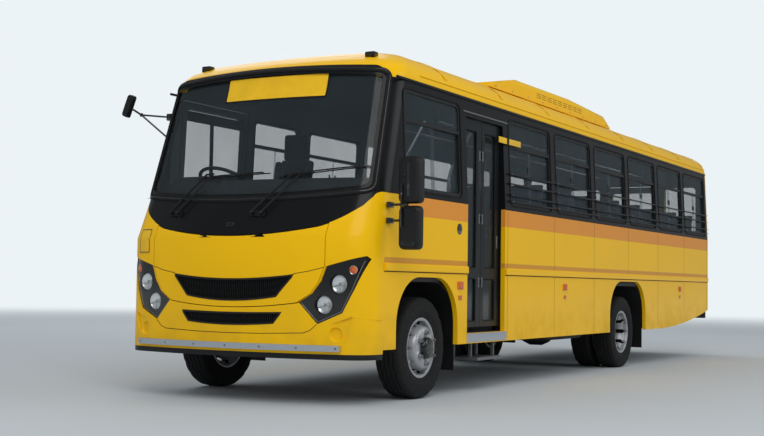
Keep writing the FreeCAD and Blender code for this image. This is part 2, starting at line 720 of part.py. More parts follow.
def discWheel(label):
    """The rim faces +X: its bolt face stands half the dual spacing out, so two of them meet back to back."""
    half = "Dims.rimWidth / 2"
    rim = "Dims.rimRadius"
    face = "Dims.dualSpacing / 2"
    bolt = "Dims.boltFaceRadius"
    hub = "Dims.hubRadius"
    points = [(half, rim), (half + " - 7", rim), (half + " - 12", rim + " - 16"), ("40", rim + " - 22"),
              ("28", rim + " - 42"), ("-30", rim + " - 42"), ("-42", rim + " - 22"),
              ("-(%s) + 12" % half, rim + " - 16"), ("-(%s) + 7" % half, rim), ("-(%s)" % half, rim),
              ("-(%s) + 3" % half, rim + " - 23"), ("-47", rim + " - 30"), ("-34", rim + " - 50"),
              ("20", rim + " - 50"), (face + " - 26", bolt + " - 2"), (face + " - 12", bolt + " - 14"),
              (face + " - 12", hub), (face, hub), (face, bolt + " - 10"), (face + " - 16", bolt + " + 4"),
              ("34", rim + " - 48"), ("44", rim + " - 30"), (half + " - 3", rim + " - 23")]
    body = revolved(label, points)
    hole = outline(body, label + "HandHole", "YZ_Plane", None,
                   ("Dims.handHoleCircle", "0", "Dims.handHoleRadius"))
    pocket = body.newObject("PartDesign::Pocket", label + "Hole")
    pocket.Profile = hole
    pocket.Type = 1
    pocket.Midplane = True
    doc.recompute()
    pattern = body.newObject("PartDesign::PolarPattern", label + "Holes")
    pattern.Originals = [pocket]
    pattern.Axis = (plane(body, "X_Axis"), [""])
    pattern.Angle = 360
    pattern.setExpression("Occurrences", "Dims.handHoleCount")
    body.Tip = pattern
    return body


def hub(label, inner, outer):
    """A hub with its flange behind the disc; inner and outer are its ends from the wheel's middle."""
    flange = ("Dims.dualSpacing / 2 - 34", "Dims.dualSpacing / 2 - 13")
    barrelRadius = "Dims.hubRadius - 0.3"
    flangeRadius = "Dims.boltFaceRadius - 16"
    boreRadius = "Dims.stubRadius + Dims.runningGap"
    return revolved(label, [
        (inner, boreRadius), (inner, barrelRadius), (flange[0], barrelRadius), (flange[0], flangeRadius),
        (flange[1], flangeRadius), (flange[1], barrelRadius), (outer + " - 12", barrelRadius),
        (outer, "Dims.hubRadius - 14"), (outer, "0"), (outer + " - 24", "0"), (outer + " - 24", boreRadius)])


def nuts(name, x, length, y):
    """Six wheel nuts on their studs round the axle."""
    parts = []
    for index in range(6):
        angle = 60 * index + 30
        place = [x, "%s + Dims.studCircle * cos(%d deg)" % (y, angle),
                 "Dims.tyreRadius + Dims.studCircle * sin(%d deg)" % angle]
        parts.append(rod("%s%d" % (name, index), "15", length, place, "x"))
    return parts


def copyAt(name, source, x, y, z, turned=False):
    """A copy of a piece at its own place, turned end for end on the right side of the bus."""
    item = group(name, [source])
    if turned:
        item.Placement = Placement(Vector(), Rotation(Vector(0, 0, 1), 180))
    return bind(item, {"Placement.Base.x": x, "Placement.Base.y": y, "Placement.Base.z": z})


def outboard(side, inner, outer):
    """A range outboard of the kingpin on one side."""
    if side < 0:
        return "-(Dims.kingpinHalf + %s)" % outer, "-(Dims.kingpinHalf + %s)" % inner
    return "Dims.kingpinHalf + %s" % inner, "Dims.kingpinHalf + %s" % outer


tyreBody = tyre("TyreSection")
discBody = discWheel("WheelDisc")
frontHub = hub("FrontHub", "-48", "Dims.dualSpacing / 2 + 40")
rearHub = hub("RearHub", "-60", "Dims.dualSpacing / 2 + 150")
axleHeight = "Dims.tyreRadius"
face = "Dims.dualSpacing / 2"
for side in (1, -1):
    name = sideNames[side]
    title = name.title()
    sign = "" if side > 0 else "-"
    turned = side < 0
    frontX = sign + "Dims.frontTrackHalf"
    node("tyre_front_" + name, group("TyreFront" + title, [
        copyAt("TyreFrontAt" + title, tyreBody, frontX, "0", axleHeight)]))
    nutX = ("%s + %s - 14" if side > 0 else "-(%s) - (%s) - 24") % ("Dims.frontTrackHalf", face)
    node("wheel_front_" + name, fuse("WheelFront" + title, [
        copyAt("DiscFront" + title, discBody, frontX, "0", axleHeight, turned),
        copyAt("HubFront" + title, frontHub, frontX, "0", axleHeight, turned)]
        + nuts("NutFront" + title, nutX, "38", "0")))

    outerX = sign + "(Dims.rearTrackHalf + %s)" % face
    innerX = sign + "(Dims.rearTrackHalf - %s)" % face
    node("tyres_rear_" + name, group("TyresRear" + title, [
        copyAt("TyreOuter" + title, tyreBody, outerX, "Dims.wheelbase", axleHeight),
        copyAt("TyreInner" + title, tyreBody, innerX, "Dims.wheelbase", axleHeight)]))
    nutX = "Dims.rearTrackHalf - 14" if side > 0 else "-Dims.rearTrackHalf - 40"
    node("wheels_rear_" + name, fuse("WheelsRear" + title, [
        copyAt("DiscOuter" + title, discBody, outerX, "Dims.wheelbase", axleHeight, not turned),
        copyAt("DiscInner" + title, discBody, innerX, "Dims.wheelbase", axleHeight, turned),
        copyAt("HubRear" + title, rearHub, innerX, "Dims.wheelbase", axleHeight, turned)]
        + nuts("NutRear" + title, nutX, "54", "Dims.wheelbase")))

    # Steering knuckle: two lugs on the kingpin, an upright outside the beam's eye and the stub axle.
    low = "Dims.tyreRadius - 95"
    high = "Dims.tyreRadius + 95"
    pinX = sign + "Dims.kingpinHalf"
    stubLength = "Dims.frontTrackHalf + %s - Dims.kingpinHalf - 48" % face
    stubX = "Dims.kingpinHalf + 60" if side > 0 else "-(Dims.frontTrackHalf + %s + 12)" % face
    node("knuckle_" + name, fuse("Knuckle" + title, [
        rod("Kingpin" + title, "Dims.kingpinRadius", "190", (pinX, "0", low), "z"),
        rod("LowLug" + title, "40", "34", (pinX, "0", low), "z"),
        rod("HighLug" + title, "40", "34", (pinX, "0", "%s - 34" % high), "z"),
        block("LowArm" + title, outboard(side, "0", "50"), ("-34", "34"), (low, "%s + 34" % low)),
        block("HighArm" + title, outboard(side, "0", "50"), ("-34", "34"), ("%s - 34" % high, high)),
        block("Upright" + title, outboard(side, "44", "66"), ("-52", "52"), (low, high)),
        rod("Stub" + title, "Dims.stubRadius", stubLength, (stubX, "0", axleHeight), "x"),
        block("SteerArm" + title, outboard(side, "-14", "14"), ("30", "190"), (low, "%s + 26" % low))]))

# Front axle beam with kingpin eyes, dropped between the springs.
beam = padded("FrontBeam", "XZ_Plane", [
    ("-Dims.kingpinHalf", "Dims.tyreRadius + 36"), ("-Dims.kingpinHalf + 120", "Dims.tyreRadius + 36"),
    ("-Dims.kingpinHalf + 260", "Dims.tyreRadius - 20"), ("Dims.kingpinHalf - 260", "Dims.tyreRadius - 20"),
    ("Dims.kingpinHalf - 120", "Dims.tyreRadius + 36"), ("Dims.kingpinHalf", "Dims.tyreRadius + 36"),
    ("Dims.kingpinHalf", "Dims.tyreRadius - 36"), ("Dims.kingpinHalf - 100", "Dims.tyreRadius - 40"),
    ("Dims.kingpinHalf - 240", "Dims.tyreRadius - 105"), ("-Dims.kingpinHalf + 240", "Dims.tyreRadius - 105"),
    ("-Dims.kingpinHalf + 100", "Dims.tyreRadius - 40"), ("-Dims.kingpinHalf", "Dims.tyreRadius - 36")], "76")
eyes = [rod("BeamEyeLeft", "40", "110", ("Dims.kingpinHalf", "0", "Dims.tyreRadius - 55"), "z"),
        rod("BeamEyeRight", "40", "110", ("-Dims.kingpinHalf", "0", "Dims.tyreRadius - 55"), "z")]
bores = [rod("BeamBoreLeft", "Dims.kingpinRadius + Dims.runningGap", "300",
             ("Dims.kingpinHalf", "0", "Dims.tyreRadius - 150"), "z"),
         rod("BeamBoreRight", "Dims.kingpinRadius + Dims.runningGap", "300",
             ("-Dims.kingpinHalf", "0", "Dims.tyreRadius - 150"), "z")]
node("front_axle", cut("FrontAxle", fuse("BeamWithEyes", [beam] + eyes), bores))

# Rear axle: a turned housing with its final drive bowl and a spindle for each hub.
half = "Dims.rearTrackHalf - Dims.dualSpacing / 2"
tube = "(%s - 74)" % half
spindle = "(%s + Dims.dualSpacing - 10)" % half
housing = revolved("RearHousing", [
    ("-" + spindle, "0"), ("-" + spindle, "Dims.stubRadius"),
    ("-" + tube, "Dims.stubRadius"), ("-" + tube, "92"), ("-%s + 16" % tube, "92"), ("-%s + 16" % tube, "62"),
    ("-230", "70"), ("-150", "150"), ("-70", "186"), ("70", "186"), ("150", "150"), ("230", "70"),
    ("%s - 16" % tube, "62"), ("%s - 16" % tube, "92"), (tube, "92"), (tube, "Dims.stubRadius"),
    (spindle, "Dims.stubRadius"), (spindle, "0")])
bind(housing, {"Placement.Base.y": "Dims.wheelbase", "Placement.Base.z": "Dims.tyreRadius"})
nose = rod("FinalDriveNose", "78", "300", ("0", "Dims.wheelbase - 330", "Dims.tyreRadius"), "y")
node("rear_axle", fuse("RearAxle", [housing, nose]))

# Ladder frame: two channel rails and crossmembers.
railLow = "Dims.railTop - Dims.railDepth"
frameParts = []
for sign, name in (("", "Left"), ("-", "Right")):
    outer = "%sDims.railHalf" % sign
    inner = "%s(Dims.railHalf - Dims.railWidth)" % sign
    x = (inner, outer) if not sign else (outer, inner)
    rail = block("Rail" + name, x, ("Dims.railFrontY", "Dims.railRearY"), (railLow, "Dims.railTop"))
    hollowX = ("(%s) - 1" % x[0], "(%s) - Dims.railWeb" % x[1]) if not sign else \
        ("(%s) + Dims.railWeb" % x[0], "(%s) + 1" % x[1])
    hollow = block("RailHollow" + name, hollowX, ("Dims.railFrontY - 1", "Dims.railRearY + 1"),
                   (railLow + " + Dims.railWeb", "Dims.railTop - Dims.railWeb"))
    frameParts.append(cut("Channel" + name, rail, [hollow]))
crossPlaces = ["Dims.railFrontY + 20", "900", "1500", "2700", "3900", "Dims.wheelbase + 820",
               "6700", "Dims.railRearY - 100"]
crossHalf = "(Dims.railHalf - Dims.railWeb - 0.3)"
for index, place in enumerate(crossPlaces):
    frameParts.append(block("Cross%d" % index, ("-" + crossHalf, crossHalf), (place, place + " + 70"),
                            ("Dims.railTop - 130", "Dims.railTop - 40")))
outriggers = ["1560", "2200", "3000", "3800", "5900", "6800", "7700"]
for index, place in enumerate(outriggers):
    for sign, name in (("", "Left"), ("-", "Right")):
        x = ("Dims.railHalf + 0.3", "Dims.bodyHalfWidth - Dims.wall - 0.3")
        x = x if not sign else tuple("-(%s)" % value for value in reversed(x))
        frameParts.append(block("Outrigger%s%d" % (name, index), x, (place, place + " + 50"),
                                ("Dims.railTop - 60", "Dims.railTop")))
for index, place in enumerate(["-900", "620", "1200", "2400", "3600", "4700", "5900", "7100", "8200"]):
    frameParts.append(block("Bearer%d" % index, ("-Dims.railHalf - 6", "Dims.railHalf + 6"),
                            (place, place + " + 60"),
                            ("Dims.railTop + 0.3", "Dims.floorTop - Dims.floorThickness - 0.3")))
# A towing lug lies flat in each rail's end, with its bore upright in front of the rail or behind it.
towLugs = [("Front", "Dims.railFrontY - 54", "Dims.railFrontY + 19.7", "Dims.railFrontY - 26"),
           ("Rear", "Dims.railRearY - 29.7", "Dims.railRearY + 54", "Dims.railRearY + 26")]
lugLow = "(%s + 90)" % railLow
lugs = []
for end, start, stop, middle in towLugs:
    for sign, name in (("", "Left"), ("-", "Right")):
        inner = "%s(Dims.railHalf - Dims.railWidth)" % sign
        outer = "%s(Dims.railHalf - Dims.railWeb - 0.3)" % sign
        lug = block("TowLug%s%s" % (end, name), (inner, outer) if not sign else (outer, inner),
                    (start, stop), (lugLow, lugLow + " + Dims.towLugThickness"))
        bore = rod("TowBore%s%s" % (end, name), "Dims.towBore", "60",
                   ("%s(Dims.railHalf - Dims.railWidth / 2 - 4)" % sign, middle, lugLow + " - 10"), "z")
        lugs.append(cut("TowLugBored%s%s" % (end, name), lug, [bore]))
node("chassis_frame", group("ChassisFrame", frameParts))
node("tow_lugs", group("TowLugs", lugs))


# Leaf springs in pairs, each a bowed stack between its hangers.
leafWidth = 64


def leafSpring(middleY, axleTop, halfLength, side):
    """A stack of five arched leaves on a seat, with eyes and hangers at its ends."""
    x = side * (size("railHalf") + 42)
    inner = x - leafWidth / 2
    stack = None
    for index in range(5):
        reach = halfLength * (1 - 0.16 * index)
        low = axleTop + 60 - 12 * index
        camber = 70 * (reach / halfLength) ** 2
        first = [Vector(inner, middleY - reach, low + camber), Vector(inner, middleY, low),
                 Vector(inner, middleY + reach, low + camber)]
        second = [point + Vector(0, 0, 12.5) for point in first]
        lower = Part.Arc(*first).toShape()
        upper = Part.Arc(*reversed(second)).toShape()
        rearEnd = Part.LineSegment(first[2], second[2]).toShape()
        frontEnd = Part.LineSegment(second[0], first[0]).toShape()
        leaf = Part.Face(Part.Wire([lower, rearEnd, upper, frontEnd])).extrude(Vector(leafWidth, 0, 0))
        stack = leaf if stack is None else stack.fuse(leaf)
    for end in (-1, 1):
        low = axleTop + 136
        high = size("railTop") - 100
        eyeBase = Vector(inner, middleY + end * halfLength, low)
        eye = Part.makeCylinder(22, leafWidth, eyeBase, Vector(1, 0, 0))
        reach = sorted((side * (size("railHalf") + 0.3), x + side * 16))
        hanger = slab(reach, (middleY + end * halfLength - 20, middleY + end * halfLength + 20), (low, high))
        stack = stack.fuse(eye).fuse(hanger)
    seat = slab((x - 40, x + 40), (middleY - 60, middleY + 60), (axleTop - 8, axleTop + 14))
    return stack.fuse(seat)


springs = []
for side in (1, -1):
    springs.append(leafSpring(0, size("tyreRadius") - 11.7, 560, side))
    springs.append(leafSpring(size("wheelbase"), size("tyreRadius") + 74.7, 640, side))
node("leaf_springs", shaped("LeafSprings", Part.makeCompound(springs)))

# Engine with gearbox as plain blocks, propeller shaft, fuel tank, silencer and battery box.
engine = fuse("EngineAndGearbox", [
    block("EngineBlock", ("-250", "250"), ("-700", "180"), ("540", "1120")),
    block("GearboxBlock", ("-150", "150"), ("170", "800"), ("540", "790"))])
node("engine_block", engine)
shaftStart = Vector(0, 803, 600)
shaftEnd = Vector(0, size("wheelbase") - 333, size("tyreRadius"))
shaftPath = shaftEnd - shaftStart
shaftShape = Part.makeCylinder(45, shaftPath.Length, shaftStart, shaftPath)
node("propeller_shaft", shaped("PropellerShaft", shaftShape))
tankBox = block("TankBox", ("Dims.railHalf + 34", "Dims.railHalf + 560"), ("2900", "3900"),
                ("360", "Dims.railTop - 70"))
tank = doc.addObject("Part::Fillet", "TankRounded")
tank.Base = tankBox
doc.recompute()
tank.Edges = [(index + 1, 50, 50) for index, edge in enumerate(tankBox.Shape.Edges)
              if abs(edge.tangentAt(edge.FirstParameter).y) > 0.9]
bracketZ = ("Dims.railTop - 180", "Dims.railTop - 100")
strapX = ("Dims.railHalf + 0.3", "Dims.railHalf + 40")
straps = [block("TankStrap%d" % index, strapX, (place, place + " + 60"), bracketZ)
          for index, place in enumerate(("3050", "3650"))]
tankSet = fuse("FuelTank", [tank] + straps)
battery = fuse("BatteryBox", [
    block("BatteryCase", ("-Dims.railHalf - 520", "-Dims.railHalf - 40"), ("2500", "3150"),
          ("400", "Dims.railTop - 90")),
    block("BatteryBracket", ("-Dims.railHalf - 50", "-Dims.railHalf - 0.3"), ("2600", "3050"), bracketZ)])
node("tank_and_battery", group("TankAndBattery", [tankSet, battery]))


def pipe(points, radius, bend):
    """A tube whose straight runs are joined by arcs of one radius."""
    edges = []
    start = points[0]
    for before, corner, after in zip(points, points[1:], points[2:]):
        into = (before - corner).normalize()
        out = (after - corner).normalize()
        half = into.getAngle(out) / 2
        reach = bend / math.tan(half)
        first = corner + into * reach
        last = corner + out * reach
        centre = corner + (into + out).normalize() * (bend / math.sin(half))
        middle = centre + (corner - centre).normalize() * bend
        edges += [Part.LineSegment(start, first).toShape(), Part.Arc(first, middle, last).toShape()]
        start = last
    edges.append(Part.LineSegment(start, points[-1]).toShape())
    path = Part.Wire(edges)
    ring = Part.Wire(Part.makeCircle(radius, points[0], points[1] - points[0]))
    return path.makePipeShell([ring], True, False)


exhaustLine = [Vector(-200, 180.3, 560), Vector(-200, 400, 560), Vector(-200, 900, 480),
               Vector(-200, 4200, 480), Vector(-200, 4500, 690), Vector(-200, 5500, 690),
               Vector(-200, 5800, 500), Vector(-200, size("rearFaceY") - 45, 500)]
silencer = Part.makeCylinder(120, 900, Vector(-200, 1750, 480), Vector(0, 1, 0))
exhaust = pipe(exhaustLine, 38, 120).fuse(silencer)
for place in (1560, 3930, 6730):
    exhaust = exhaust.fuse(slab((-212, -188), (place, place + 30), (510, size("railTop") - 130.3)))
node("exhaust", shaped("Exhaust", exhaust))


# Cabin floor with the stepwell and engine opening cut out, and wheel housings under it.
inside = bodySolid(wall + 0.3, size("skirtHeight"), gutter)
floorLow = size("floorTop") - size("floorThickness")
leafOuterX = halfBody - size("doorRecess")
leafInnerX = leafOuterX - size("doorThickness")
stepInnerX = leafInnerX + 34 - size("stepDepth")
stepRise = 240
upperStepDepth = 200
wellFront = size("doorFrontY") - 40
wellRear = size("doorRearY") + 40
wellInnerX = stepInnerX - upperStepDepth
floorY = (-1010, size("tailSeamY") - 0.3)
floorPlate = inside.common(slab((-farX, farX), floorY, (floorLow, size("floorTop"))))
floorPlate = floorPlate.cut(slab((wellInnerX - 20.3, farX), (wellFront - 20.3, wellRear + 20.3), (0, farTop)))
floorPlate = floorPlate.cut(slab((-300, 300), (-760, 350), (0, farTop)))
for corner in ((-farX, -690), (690, farX)):
    floorPlate = floorPlate.cut(slab(corner, (farFront, size("lowerSeamY") - 42), (0, farTop)))
node("cabin_floor", shaped("CabinFloor", floorPlate))


def wheelHousing(side, middle, half, top):
    """A liner over a wheel from the side panel in to the frame."""
    x = (size("railHalf") + 110, halfBody - wall - 0.3)
    if side < 0:
        x = (-x[1], -x[0])
    outer = archCutter(middle, half + 20, top, x)
    inner = archCutter(middle, half + 14, top - 6, (x[0] - 1, x[1] + 1))
    return outer.cut(inner).common(slab((-farX, farX), (-farX, farRear), (430, farTop)))


housingParts = []
for side in (1, -1):
    housingParts.append(wheelHousing(side, size("frontArchY"), size("frontArchHalf"), floorLow - 0.3))
    housingParts.append(wheelHousing(side, size("wheelbase"), size("rearArchHalf"), floorLow - 0.3))

# Entrance steps: a folded well with two treads, and a step hung below the sill.
firstTread = size("doorSill")
plate = 20
wellBottom = firstTread - plate
treadOuterX = halfBody - wall - 0.3
wellY = (wellFront, wellRear)
steps = slab((stepInnerX, treadOuterX), wellY, (wellBottom, firstTread))
steps = steps.fuse(slab((stepInnerX - plate, stepInnerX), wellY, (wellBottom, firstTread + stepRise)))
upperStepLow = firstTread + stepRise - plate
steps = steps.fuse(slab((wellInnerX, stepInnerX), wellY, (upperStepLow, upperStepLow + plate)))
steps = steps.fuse(slab((wellInnerX - plate, wellInnerX), wellY, (upperStepLow, size("floorTop"))))
for cheek in ((wellFront - plate, wellFront), (wellRear, wellRear + plate)):
    steps = steps.fuse(slab((stepInnerX - plate, treadOuterX), cheek, (wellBottom, size("floorTop"))))
    steps = steps.fuse(slab((wellInnerX - plate, stepInnerX), cheek, (upperStepLow, size("floorTop"))))
hungStep = slab((treadOuterX - 230, treadOuterX + 34), (890, 1390), (262, 288))
for hangerY in (900, 1360):
    for hangerX in (treadOuterX - 60, treadOuterX - 220):
        hanger = slab((hangerX, hangerX + 26), (hangerY, hangerY + 24), (275, wellBottom + 2))
        hungStep = hungStep.fuse(hanger)
steps = steps.fuse(hungStep)


def upright(x, y, low, high, radius):
    """A standing cylinder between two heights."""
    return Part.makeCylinder(radius, high - low, Vector(x, y, low), Vector(0, 0, 1))


pivotX = leafInnerX
pivotY = size("doorFrontY") + size("doorGap") + 9
pivotRadius = 8
pivotBoreRadius = pivotRadius + size("runningGap")
bush = upright(pivotX, pivotY, firstTread - 2, firstTread + 24, 16)
bushBore = upright(pivotX, pivotY, firstTread + 4, firstTread + 64, pivotBoreRadius)
steps = steps.fuse(bush).cut(bushBore)
node("entrance_steps", shaped("EntranceSteps", steps))

# Door frame inside the side panel, with the upper pivot's bore in its header.
frameX = (leafInnerX - 24, halfBody - wall - 0.3)
frameTop = size("doorHeader") + 62
frameShape = slab(frameX, (wellFront, size("doorFrontY")), (firstTread + 0.3, frameTop))
frameShape = frameShape.fuse(slab(frameX, (size("doorRearY"), wellRear), (firstTread + 0.3, frameTop)))
frameShape = frameShape.fuse(slab(frameX, (wellFront, wellRear), (size("doorHeader"), frameTop)))
frameShape = frameShape.common(inside)
topBore = upright(pivotX, pivotY, size("doorHeader") - 1, size("doorHeader") + 39, pivotBoreRadius)
node("door_frame", shaped("DoorFrame", frameShape.cut(topBore)))

# Entrance door: two leaves, the first on pivots at the front jamb and the second hinged to it.
leafBottom = firstTread + 47
leafTop = size("doorHeader") - size("doorGap")
doorMiddle = (size("doorFrontY") + size("doorRearY")) / 2
hingeX = leafOuterX + 3
hingeOuterRadius = 7
hingePinRadius = 3.5
hingeHeights = [900, 1450, 2000]
knuckleHeight = 30
leafRanges = {"front": (size("doorFrontY") + size("doorGap"), doorMiddle - 3),
              "rear": (doorMiddle + 3, size("doorRearY") - size("doorGap"))}
glassRanges = {"front": (leafRanges["front"][0] + 58, doorMiddle - 92),
               "rear": (doorMiddle + 52, leafRanges["rear"][1] - 80)}
glassHeights = [(leafBottom + 45, 965), (1050, leafTop - 90)]
paneX = (leafOuterX - 20, leafOuterX - 20 + size("glassThickness"))


def leafPane(start, end, low, high, margin, x):
    """A rounded pane, or its rebate, lapping the leaf's opening by a margin."""
    return roundedWindow(x, (start - margin, end + margin), (low - margin, high + margin), 22)


for name in ("front", "rear"):
    leaf = slab((leafInnerX, leafOuterX), leafRanges[name], (leafBottom, leafTop))
    panes = []
    for low, high in glassHeights:
        start, end = glassRanges[name]
        leaf = leaf.cut(roundedWindow((leafInnerX - 1, leafOuterX + 1), (start, end), (low, high), 18))
        leaf = leaf.cut(leafPane(start, end, low, high, 8, paneX))
        panes.append(leafPane(start, end, low, high, 7.7, (paneX[0] + 0.2, paneX[1] - 0.2)))
    for height in hingeHeights:
        own = height if name == "front" else height + knuckleHeight
        other = height + knuckleHeight if name == "front" else height
        relief = upright(hingeX, doorMiddle, other - 1, other + knuckleHeight + 1, hingeOuterRadius + 2)
        leaf = leaf.cut(relief)
        knuckle = upright(hingeX, doorMiddle, own + 0.3, own + knuckleHeight - 0.3, hingeOuterRadius)
        leaf = leaf.fuse(knuckle)
        if name == "front":
            boreRadius = hingePinRadius + size("runningGap")
            leaf = leaf.cut(upright(hingeX, doorMiddle, own - 2, own + knuckleHeight + 2, boreRadius))
        else:
            pinEnds = (height + 3, height + 2 * knuckleHeight - 1)
            leaf = leaf.fuse(upright(hingeX, doorMiddle, *pinEnds, hingePinRadius))
    if name == "front":
        for low, high, pinLow, pinHigh in ((leafBottom, leafBottom + 24, firstTread + 6, leafBottom + 10),
                                           (leafTop - 24, leafTop, leafTop - 10, size("doorHeader") + 30)):
            leaf = leaf.fuse(upright(pivotX, pivotY, low, high, 12))
            leaf = leaf.fuse(upright(pivotX, pivotY, pinLow, pinHigh, pivotRadius))
    node("door_leaf_" + name, shaped("DoorLeaf" + name.title(), leaf))
    node("door_glass_" + name, shaped("DoorGlass" + name.title(), Part.makeCompound(panes)))


# Hinged panels cut from the body skin, with hinge barrels on one edge.
barrelRadius = 9
barrelHeight = 40
barrelPinRadius = 4.5


def hingeArm(axis, along, across, z):
    """A block by a standing axis; along is its range in x and across in y, both from the axis."""
    return slab((axis[0] + along[0], axis[0] + along[1]), (axis[1] + across[0], axis[1] + across[1]), z)


def skinDoor(inner, window, axis, heights, leafArm, bodyArm):
    """The leaf and the body's hinge lugs; each arm is its ranges in x and y from the axis."""
    leaf = skin.common(inner).cut(window)
    lugs = []
    for height in heights:
        leafZ = (height, height + barrelHeight)
        bodyZ = (height - barrelHeight - 0.6, height - 0.6)
        leaf = leaf.fuse(hingeArm(axis, *leafArm, leafZ)).fuse(upright(*axis, *leafZ, barrelRadius))
        leaf = leaf.fuse(upright(*axis, height - 36, height + 4, barrelPinRadius))
        bore = upright(*axis, height - barrelHeight - 1, height + 1, barrelPinRadius + size("runningGap"))
        lug = upright(*axis, *bodyZ, barrelRadius).fuse(hingeArm(axis, *bodyArm, bodyZ))
        lugs.append(lug.cut(bore))
    return leaf, lugs


def shrunk(pair, inset):
    return pair[0] + inset, pair[1] - inset


gap = size("doorGap")
driverY = (size("driverDoorFrontY") + gap, size("driverDoorRearY") - gap)
driverZ = (size("driverDoorSill") + gap, size("windowHead") + 35 - gap)
driverInner = slab((-farX, -halfBody + 150), driverY, driverZ)
driverWindowRange = ((driverY[0] + 60, driverY[1] - 60), (size("windowSill") + 10, size("windowHead") - 30))
driverWindow = roundedWindow(sideX(-1), driverWindowRange[0], driverWindowRange[1], 45)
driverAxis = (-halfBody - 10, size("driverDoorFrontY") + gap / 2)
driverLeaf, driverLugs = skinDoor(
    driverInner, driverWindow, driverAxis, (1160, 1480), ((-3, 12), (2, 46)), ((-3, 10.5), (-46, -2)))
node("driver_door", shaped("DriverDoor", driverLeaf))
driverPane = paneOuter.common(roundedWindow(
    sideX(-1), shrunk(driverWindowRange[0], 0.3), shrunk(driverWindowRange[1], 0.3), 45))
node("driver_door_glass", shaped("DriverDoorGlass", driverPane))

exitX = (-size("exitHalfWidth") + gap, size("exitHalfWidth") - gap)
exitZ = (size("exitSill") + gap, size("exitHeader") - gap)
exitInner = slab(exitX, (size("tailSeamY"), farRear), exitZ)
exitWindowX = (exitX[0] + 75, exitX[1] - 75)
exitWindowZ = (size("windowSill"), size("exitHeader") - 90)
exitWindow = roundedPort(exitWindowX, (size("tailSeamY"), farRear), exitWindowZ, 60)
exitAxis = (-size("exitHalfWidth") + gap / 2, size("rearFaceY") + 6)
exitLeaf, exitLugs = skinDoor(
    exitInner, exitWindow, exitAxis, (1200, 1500, 2240), ((2, 52), (-20, 2)), ((-52, -2), (-20, 2)))
node("rear_door", shaped("RearDoor", exitLeaf))
exitPane = glassSkin.common(roundedPort(
    shrunk(exitWindowX, 0.3), (size("tailSeamY"), farRear), shrunk(exitWindowZ, 0.3), 60))
node("rear_door_glass", shaped("RearDoorGlass", exitPane))
for lug in driverLugs:
    sidePanels[-1] = sidePanels[-1].fuse(lug)
for lug in exitLugs:
    rearWall = rearWall.fuse(lug)
node("side_panels", shaped("SidePanels", Part.makeCompound([sidePanels[1], sidePanels[-1]])))
node("rear_wall", shaped("RearWall", rearWall))

# Guard bars outside the lower window panes, with rub rails along the sides.
guards = []
rails = []
for side in (1, -1):
    for start, end in windowRanges(side)[:int(size("bayCount"))]:
        for height in (1665, 1725, 1825, 1914):
            lean = (height - waist) / (gutter - waist) * (halfBody - size("gutterHalfWidth"))
            x = side * (halfBody + size("guardStandoff") - 12 - lean)
            base = Vector(x, start - 35, height)
            bar = Part.makeCylinder(size("guardRadius"), end - start + 70, base, Vector(0, 1, 0))
            footX = sorted((x, side * (halfBody - lean + 0.5)))
            for foot in (start - 28, end + 12):
                bar = bar.fuse(slab(footX, (foot, foot + 16), (height - 6, height + 6)))
            guards.append(bar)
    x = (halfBody + 0.3, halfBody + 16) if side > 0 else (-halfBody - 16, -halfBody - 0.3)
    if side > 0:
        rails.append(slab(x, (size("lowerSeamY") + 4, size("doorFrontY") - 6), (1000, 1060)))
        rails.append(slab(x, (size("doorRearY") + 6, size("tailSeamY") - 4), (1000, 1060)))
    else:
        rails.append(slab(x, (size("lowerSeamY") + 4, size("tailSeamY") - 4), (940, 1000)))
node("window_guards", shaped("WindowGuards", Part.makeCompound(guards)))
node("rub_rails", shaped("RubRails", Part.makeCompound(rails)))

# Roof unit: a low moulded cover, wedge shaped in front.
podBase = gutter + size("roofRise") - 60
podFront = size("podFrontY")
podRear = podFront + size("podLength")
podTop = size("podTop")
podEdges = [(podFront, podBase), (podFront + 30, podBase + 45), (podFront + 740, podTop - 10),
            (podFront + 2200, podTop), (podRear - 200, podTop - 45), (podRear - 10, podBase + 60),
            (podRear, podBase)]
podWire = Part.makePolygon([Vector(-size("podHalf"), y, z) for y, z in podEdges + podEdges[:1]])
pod = Part.Face(podWire).extrude(Vector(2 * size("podHalf"), 0, 0))
podTopEdges = [edge for edge in pod.Edges
               if abs(edge.CenterOfMass.x) > size("podHalf") - 1 and edge.BoundBox.ZMin > podBase + 50]
pod = pod.makeFillet(70, podTopEdges)
outerForm = bodySolid(-0.3)
pod = pod.cut(outerForm)
node("roof_unit", shaped("RoofUnit", pod))

# Lamps, mirrors, wipers and bumper.
markers = []
for side in (1, -1):
    roofLamp = slab((side * 794 - 45, side * 794 + 45), (-468, -398), (2640, 2716))
    roofLamp = roofLamp.makeFillet(12, roofLamp.Edges).cut(outerForm)
    markers.append(roofLamp)
    x = (halfBody + 0.3, halfBody + 18) if side > 0 else (-halfBody - 18, -halfBody - 0.3)
    markers.append(roundedWindow(x, (490, 550), (875, 925), 12))
    markers.append(roundedWindow(x, (2900, 2960), (875, 925), 12))
    markers.append(roundedWindow(x, (7000, 7060), (875, 925), 12))

for side in (1, -1):
    for height in (1060, 1190, 1320):
        start = Vector(side * 850, size("tailSeamY"), height)
        tube = Part.makeCylinder(58, 400, start, Vector(0, 1, 0))
        markers.append(tube.common(bodyLayer(-22, -0.3, size("noseBreakHeight") - 400, waist)))
node("body_lamps", shaped("BodyLamps", Part.makeCompound(markers)))

